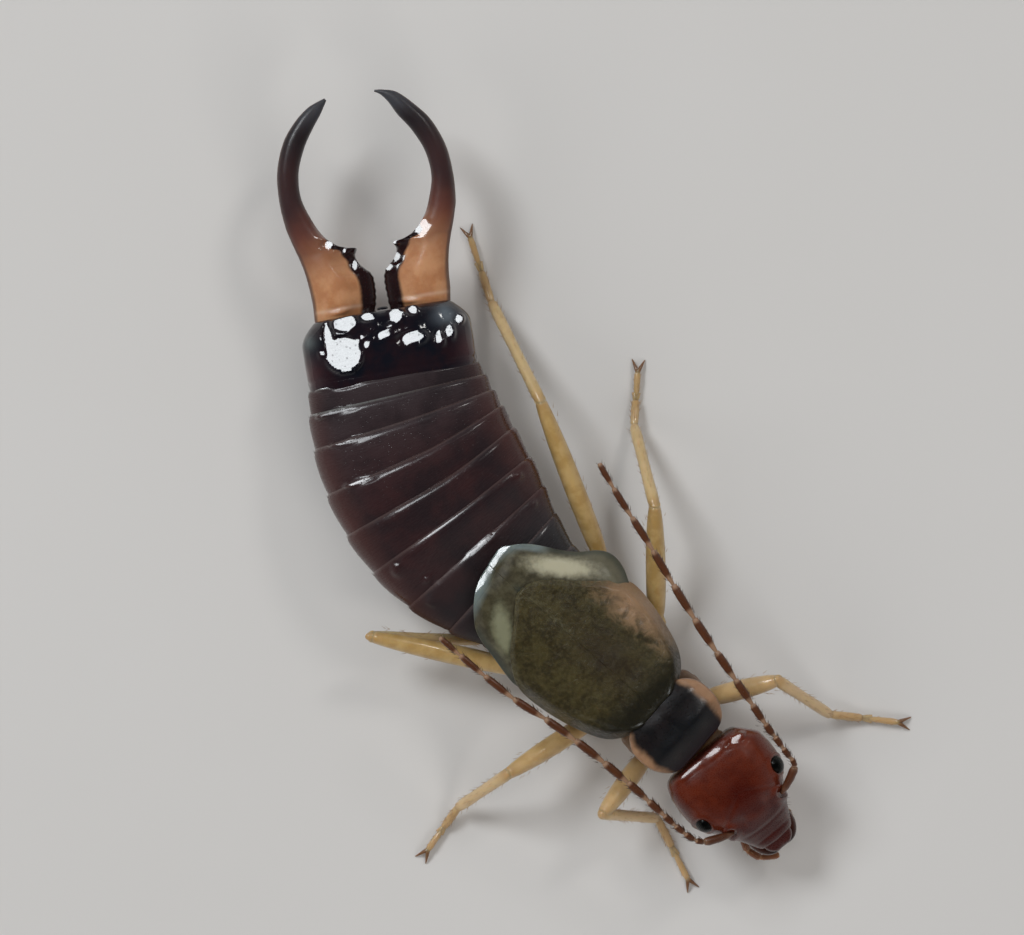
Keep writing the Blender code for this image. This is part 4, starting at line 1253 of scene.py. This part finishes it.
forcepsSize = dict(
    arm=(  # outer edge across and behind the last tergite, inner edge the same, and height
        (1.24, -0.06, 0.16, -0.05, 0.6), (1.25, 0.12, 0.11, 0.13, 0.68), (1.26, 0.4, 0.085, 0.42, 0.74),
        (1.28, 0.62, 0.11, 0.64, 0.74), (1.305, 0.8, 0.24, 0.79, 0.7), (1.335, 0.95, 0.355, 0.92, 0.66),
        (1.365, 1.06, 0.38, 1.04, 0.62), (1.4, 1.18, 0.345, 1.165, 0.58), (1.43, 1.27, 0.52, 1.2, 0.56),
        (1.47, 1.4, 0.745, 1.31, 0.54), (1.51, 1.54, 0.91, 1.49, 0.52), (1.56, 1.76, 1.06, 1.78, 0.5),
        (1.59, 2.2, 1.19, 2.22, 0.47), (1.545, 2.72, 1.155, 2.68, 0.44), (1.36, 3.22, 0.98, 3.1, 0.39),
        (1.1, 3.56, 0.77, 3.42, 0.32),
    ),
    tips=dict(
        left=((0.83, 3.82, 0.65, 3.66, 0.22), (0.6, 3.9, 0.53, 3.82, 0.13),
              (0.44, 3.925, 0.425, 3.89, 0.05)),
        right=((0.8, 3.8, 0.6, 3.64, 0.22), (0.48, 3.92, 0.45, 3.87, 0.09)),
    ),
    between=12,
    sides=56,
    power=0.9,
    height=1.5,
    lift=0.06,
    lean=0.05,  # both arms bend this far to the animal's left
    teeth=dict(start=0.0, end=0.68, pitch=0.12, size=0.006),  # blunt teeth in a row on the inner blade
    flats=dict(  # shining flats on top: across, along, half width and half length
        left=((0.95, 1.34, 0.15, 0.19), (0.41, 0.9, 0.085, 0.085), (0.24, 0.74, 0.075, 0.075),
              (0.43, 1.17, 0.06, 0.055), (0.54, 0.1, 0.11, 0.045)),
        right=((-0.76, 1.29, 0.1, 0.09), (-0.36, 0.86, 0.07, 0.1), (-0.5, 1.15, 0.06, 0.05),
               (-0.8, 0.1, 0.11, 0.045)),
    ),
    beads=(  # knobs on the inner rim: along, radius, height
        (0.7, 0.075, 0.05), (0.8, 0.065, 0.045), (0.93, 0.08, 0.055), (1.04, 0.06, 0.03),
        (1.17, 0.07, 0.05), (1.215, 0.06, 0.04), (1.285, 0.08, 0.06), (1.4, 0.08, 0.035),
    ),
)


def makeForceps(name, side):
    size = forcepsSize
    rear = bodyFrame(line["tailEnd"])
    teeth = size["teeth"]
    rings = []
    rows = refine(size["arm"] + size["tips"][name], size["between"])
    for outAcross, outAlong, inAcross, inAlong, height in rows:
        shift = size["lean"] * rise(outAlong, 0.2, 1.8) + 0.03 * rise(outAlong, -0.1, 0.3)
        outer = spot(rear, side * outAcross + shift, size["height"] + size["lift"] * outAlong, outAlong)
        inner = spot(rear, side * inAcross + shift, size["height"] + size["lift"] * inAlong, inAlong)
        flat = rise(inAlong, 1.45, 0.9)  # the base is broad, and flattened to its inner edge
        saw = rise(inAlong, teeth["start"], 0.08) * rise(inAlong, teeth["end"] + 0.1, teeth["end"])
        saw *= teeth["size"] * cos(2 * pi * inAlong / teeth["pitch"])
        middle = (outer + inner) / 2
        reach = (inner - outer) / 2
        way = reach.normalized()
        ring = []
        for k in range(size["sides"]):
            turn = 2 * pi * (k + 0.5) / size["sides"]
            c = rounded(cos(turn), size["power"])
            lift = rounded(sin(turn), size["power"])
            thin = 1.0 - flat * 0.5 * rise(c, -0.2, 0.7)
            point = middle + reach * c + up * (0.5 * height * lift * thin)
            point += way * (saw * rise(c, 0.8, 0.97))
            if c > 0.3:
                gap = (1 - c) * reach.length  # how far from the inner edge
                for place, radius, tall in size["beads"]:
                    off = hypot(inAlong - place, gap - 0.06)
                    bump = tall * exp(-((off / radius) ** 2) * 1.6)
                    point += up * (bump * (1.0 if lift > 0 else -0.5)) + way * (0.5 * bump)
            ring.append((point, (c, inAlong * 0.5 + outAlong * 0.5, lift)))
        rings.append(ring)
    bm = closed(rings)
    pressFlats(bm, rear, size["flats"][name], lastSize["lean"])
    look = "forceps" + name.title()
    finishPiece(f"forceps_arm_{name}", bm, look, f"forceps_{name}", 60)


makeAbdomen()
makeLastTergite()
for name, side in bothSides:
    makeForceps(name, side)


# Legs
print("earwig: legs")
legSize = dict(
    spots=dict(  # hip, femur base, knee, ankle and foot tip from above, in model millimetres
        front_left=((0.11, -4.57), (0.35, -4.6), (1.68, -4.94), (2.23, -6.03), (3.3, -6.83)),
        middle_left=((-0.22, -3.46), (0.32, -2.98), (1.34, -1.1), (1.77, 0.33), (2.35, 1.19)),
        hind_left=((-0.46, -2.45), (0.02, -1.6), (0.5, 1.58), (0.64, 3.59), (0.91, 4.88)),
        front_right=((-0.75, -4.85), (-1.0, -4.95), (-2.25, -5.45), (-1.45, -6.09), (-1.53, -7.42)),
        middle_right=((-1.16, -3.78), (-1.52, -3.92), (-3.38, -3.97), (-4.5, -4.1), (-5.43, -4.53)),
        hind_right=((-1.52, -2.85), (-2.1, -2.6), (-4.27, -0.6), (-2.62, -1.66), (-2.16, -0.42)),
    ),
    hip=0.98,
    base=0.66,
    knee=1.48,
    lowKnees=dict(hind_right=1.28),
    ankle=0.3,
    foot=0.1,
    parts=dict(  # number of the joint, sides, radius at shares of its length, flatness and bow
        coxa=(0, 24, domed(((0.0, 0.3), (0.25, 0.31), (0.65, 0.26), (1.0, 0.17)))),
        trochanter=(1, 20, domed(((0.0, 0.15), (0.5, 0.175), (1.0, 0.14)))),
        femur=(2, 28, domed(refine(((0.0, 0.11), (0.05, 0.145), (0.14, 0.19), (0.35, 0.215), (0.65, 0.205),
                                    (0.88, 0.165), (0.97, 0.135)), 3)), 0.85, up * 0.1),
        kneecap=(2, 16, ((0.0, 0.06), (0.3, 0.11), (0.7, 0.11), (1.0, 0.07))),
        tibia=(3, 24, domed(refine(((0.0, 0.088), (0.05, 0.108), (0.14, 0.11), (0.5, 0.099), (0.85, 0.103),
                                    (0.97, 0.09)), 3)), 1.0, up * 0.05),
        heel=(4, 18, domed(((0.0, 0.06), (0.15, 0.074), (0.7, 0.078), (0.97, 0.068)))),
        lobe=(5, 14, domed(((0.0, 0.048), (0.4, 0.054), (0.9, 0.056)))),
        toe=(6, 16, domed(((0.0, 0.04), (0.25, 0.052), (0.8, 0.062), (0.98, 0.05)))),
        claw=(7, 10, ((-0.05, 0.03), (0.1, 0.042), (0.4, 0.034), (0.7, 0.022), (0.95, 0.01),
                      (1.0, 0.004)), 1.0, up * 0.05),
    ),
    joints=((0.44, 0.1), (0.6, 0.072), (0.94, 0.11)),  # the foot's joints end at: share of it, height
    lobe=0.03,  # how far each lobe is off the foot's middle
    clawTip=0.012,
    clawLength=0.27,
    clawSpread=radians(26),
    hairs=(  # of thigh, shin, heel and toe: radius, count, length, lean, and from and to which share
        (0.22, 34, 0.1, 0.7, 0.1, 0.95), (0.114, 70, 0.11, 0.6, 0.05, 0.98), (0.084, 34, 0.08, 0.6),
        (0.06, 20, 0.06, 0.6),
    ),
)


def makeLeg(name, spots):
    size = legSize
    knee = size["lowKnees"].get(name, size["knee"])
    heights = (size["hip"], size["base"], knee, size["ankle"], size["foot"])
    hip, base, knee, ankle, tip = [Vector((x, y, z)) for (x, y), z in zip(spots, heights)]
    heel, toe, end = [ankle.lerp(tip, share) for share, height in size["joints"]]
    heel.z, toe.z, end.z = [height for share, height in size["joints"]]
    thigh = (knee - base).normalized()
    bend = knee + (ankle - knee).normalized() * 0.02
    ahead = tip - ankle
    ahead.z = 0.0
    ahead.normalize()
    lobe = ahead.cross(up) * size["lobe"]  # the second foot joint is two broad lobes
    limbs = [(hip, base.lerp(hip, 0.15), "coxa"), (base - thigh * 0.1, base + thigh * 0.12, "trochanter"),
             (base, knee, "femur"), (knee - up * 0.05, bend, "kneecap"), (knee, ankle, "tibia"),
             (ankle, heel, "heel"), (heel, toe + lobe, "lobe"), (heel, toe - lobe, "lobe"),
             (heel.lerp(toe, 0.6) + up * 0.02, end, "toe")]
    for turn in (size["clawSpread"], -size["clawSpread"]):
        way = Matrix.Rotation(turn, 3, "Z") @ ahead
        clawTip = end + way * size["clawLength"]
        clawTip.z = size["clawTip"]
        limbs.append((end - way * 0.02, clawTip, "claw"))
    bm = newShape()
    for start, finish, part in limbs:
        limb(bm, start, finish, *size["parts"][part])
    finishPiece(f"leg_{name}_joints", bm, "leg", f"leg_{name}", 70)

    chance = random.Random(sum(map(ord, name)))
    roots = []
    for start, finish, row in zip((base, knee, ankle, heel), (knee, ankle, heel, end), size["hairs"]):
        roots += hairsAlong(start, finish, chance, *row)
    roots = [root for root in roots if root[0].z + root[1].z * root[2] > 0.015]
    hairs(f"leg_{name}_hairs", roots, 41)


for name, spots in legSize["spots"].items():
    makeLeg(name, spots)


# Bristles on the plates' hind edges and on the head
print("earwig: bristles")
bristleSize = dict(
    perPlate=34,
    turns=(-18, 216),  # degrees round a plate: where they start, and how far they go
    before=0.05,  # they stand this far ahead of the hind edge
    lengths=(0.05, 0.09),
    onHead=60,
    eyeGap=(0.98, 0.35),  # none beside the eyes: ahead, and how far from there
)


def makeBodyHairs():
    chance = random.Random(77)
    size = bristleSize
    first, reach = size["turns"]
    roots = []
    begin = abdomenSize["start"]
    for number, length in enumerate(abdomenSize["lengths"]):
        begin += length
        if number == 0:
            continue
        row = begin - size["before"]
        at = bodyFrame(row)
        for k in range(size["perPlate"]):
            turn = radians(first + reach * (k + chance.random()) / size["perPlate"])
            point = bodyPoint(row, turn, -0.01)[0]
            out = (point - spot(at, 0.0, 1.4)).normalized()
            lie = (out * 0.25 + at[1]).normalized()
            roots.append((point, lie, chance.uniform(*size["lengths"]), 0.003, k / 40, number / 10))
    hairs("abdomen_hairs", roots, 51, "darkHair")

    roots = []
    for k in range(size["onHead"]):
        side = 1 if k % 2 else -1
        ahead = chance.uniform(0.2, 2.0)
        half = curve([(row[0], row[1]) for row in headSize["rings"]], ahead)
        waist = curve([(row[0], row[3]) for row in headSize["rings"]], ahead)
        point = spot(headFrame(ahead), side * (half - 0.01), waist + chance.uniform(-0.05, 0.1))
        if abs(ahead - size["eyeGap"][0]) < size["eyeGap"][1]:
            continue
        lie = (headFrame(0)[2] * side + headFrame(0)[1] * -0.8 + up * 0.2).normalized()
        roots.append((point, lie, chance.uniform(*size["lengths"]), 0.004, ahead / 3, 0.5 + side * 0.2))
    hairs("head_hairs", roots, 52, "darkHair")


makeBodyHairs()


# Floor, light and camera
print("earwig: light and camera")


def makeFloor():
    bm = bmesh.new()
    bmesh.ops.create_grid(bm, x_segments=1, y_segments=1, size=0.6)
    mesh = bpy.data.meshes.new("floor")
    bm.to_mesh(mesh)
    bm.free()
    look = Look("paleFloor", {"Roughness": 0.7, "Specular IOR Level": 0.2})
    look.colour = look.noise(0.08, 3.0).mix((0.66, 0.64, 0.62), (0.7, 0.68, 0.665))
    mesh.materials.append(look.wear().material)
    floor = bpy.data.objects.new("floor", mesh)
    scene.collection.objects.link(floor)


lightSet = (
    # name, degrees from the photo's up to its right, degrees of height, distance, size, power, mirrored
    ("key", -47, 48, 0.22, 0.074, 0.22, True),
    ("side", 36, 44, 0.24, 0.045, 0.07, True),
    ("low", -118, 34, 0.26, 0.14, 0.1, False),
    ("rear", 150, 42, 0.26, 0.14, 0.13, False),
    ("top", 60, 78, 0.26, 0.2, 0.09, False),
)
skySet = dict(
    rows=(0.15, 0.8, 0.32, 0.04),  # between these two heights its light falls from this to that
    colour=(0.97, 0.985, 1.0),
)
cameraSet = dict(
    centre=(0.504, 0.573),  # what the middle of the photo shows, in millimetres of the frame
    lean=30.0,  # the photo's up, in degrees from +Y to +X
    wide=18.43,  # millimetres across the photo at the animal's height
    away=100.0,
    level=1.8,
    film=36.0,
)


def makeLights():
    for name, side, height, away, size, power, mirrored in lightSet:
        lamp = bpy.data.lights.new(name, "AREA")
        lamp.shape = "DISK"
        lamp.size = size
        lamp.energy = power
        lamp.color = (0.93, 0.97, 1.0) if name == "key" else (1.0, 0.985, 0.96)
        holder = bpy.data.objects.new(name, lamp)
        turn = radians(cameraSet["lean"] + side)
        flat = cos(radians(height))
        way = Vector((sin(turn) * flat, cos(turn) * flat, sin(radians(height))))
        holder.location = way * away
        holder.rotation_euler = way.to_track_quat("Z", "Y").to_euler()
        holder.visible_glossy = mirrored  # the soft fills leave no patch on the shell
        scene.collection.objects.link(holder)
    world = bpy.data.worlds.new("studio")
    world.use_nodes = True
    tree = world.node_tree
    paint = tree.nodes["Background"]
    spots = tree.nodes.new("ShaderNodeTexCoord")
    parts = tree.nodes.new("ShaderNodeSeparateXYZ")
    shade = tree.nodes.new("ShaderNodeMapRange")
    for socket, value in zip(shade.inputs[1:5], skySet["rows"]):
        socket.default_value = value
    tree.links.new(spots.outputs["Generated"], parts.inputs[0])
    tree.links.new(parts.outputs[2], shade.inputs[0])
    tree.links.new(shade.outputs[0], paint.inputs["Strength"])
    paint.inputs["Color"].default_value = (*skySet["colour"], 1.0)
    scene.world = world


def makeCamera():
    size = cameraSet
    camera = bpy.data.cameras.new("camera")
    camera.sensor_width = size["film"]
    camera.lens = size["film"] * size["away"] / size["wide"]
    camera.clip_start = 0.002
    camera.clip_end = 5.0
    holder = bpy.data.objects.new("camera", camera)
    x, y = size["centre"]
    holder.location = Vector((x, y, size["level"] + size["away"])) * 0.001
    holder.rotation_euler = (0.0, 0.0, radians(-size["lean"]))
    scene.collection.objects.link(holder)
    scene.camera = holder


makeFloor()
makeLights()
makeCamera()
scene.view_settings.view_transform = "Standard"

print("earwig: done")
bpy.context.view_layer.update()
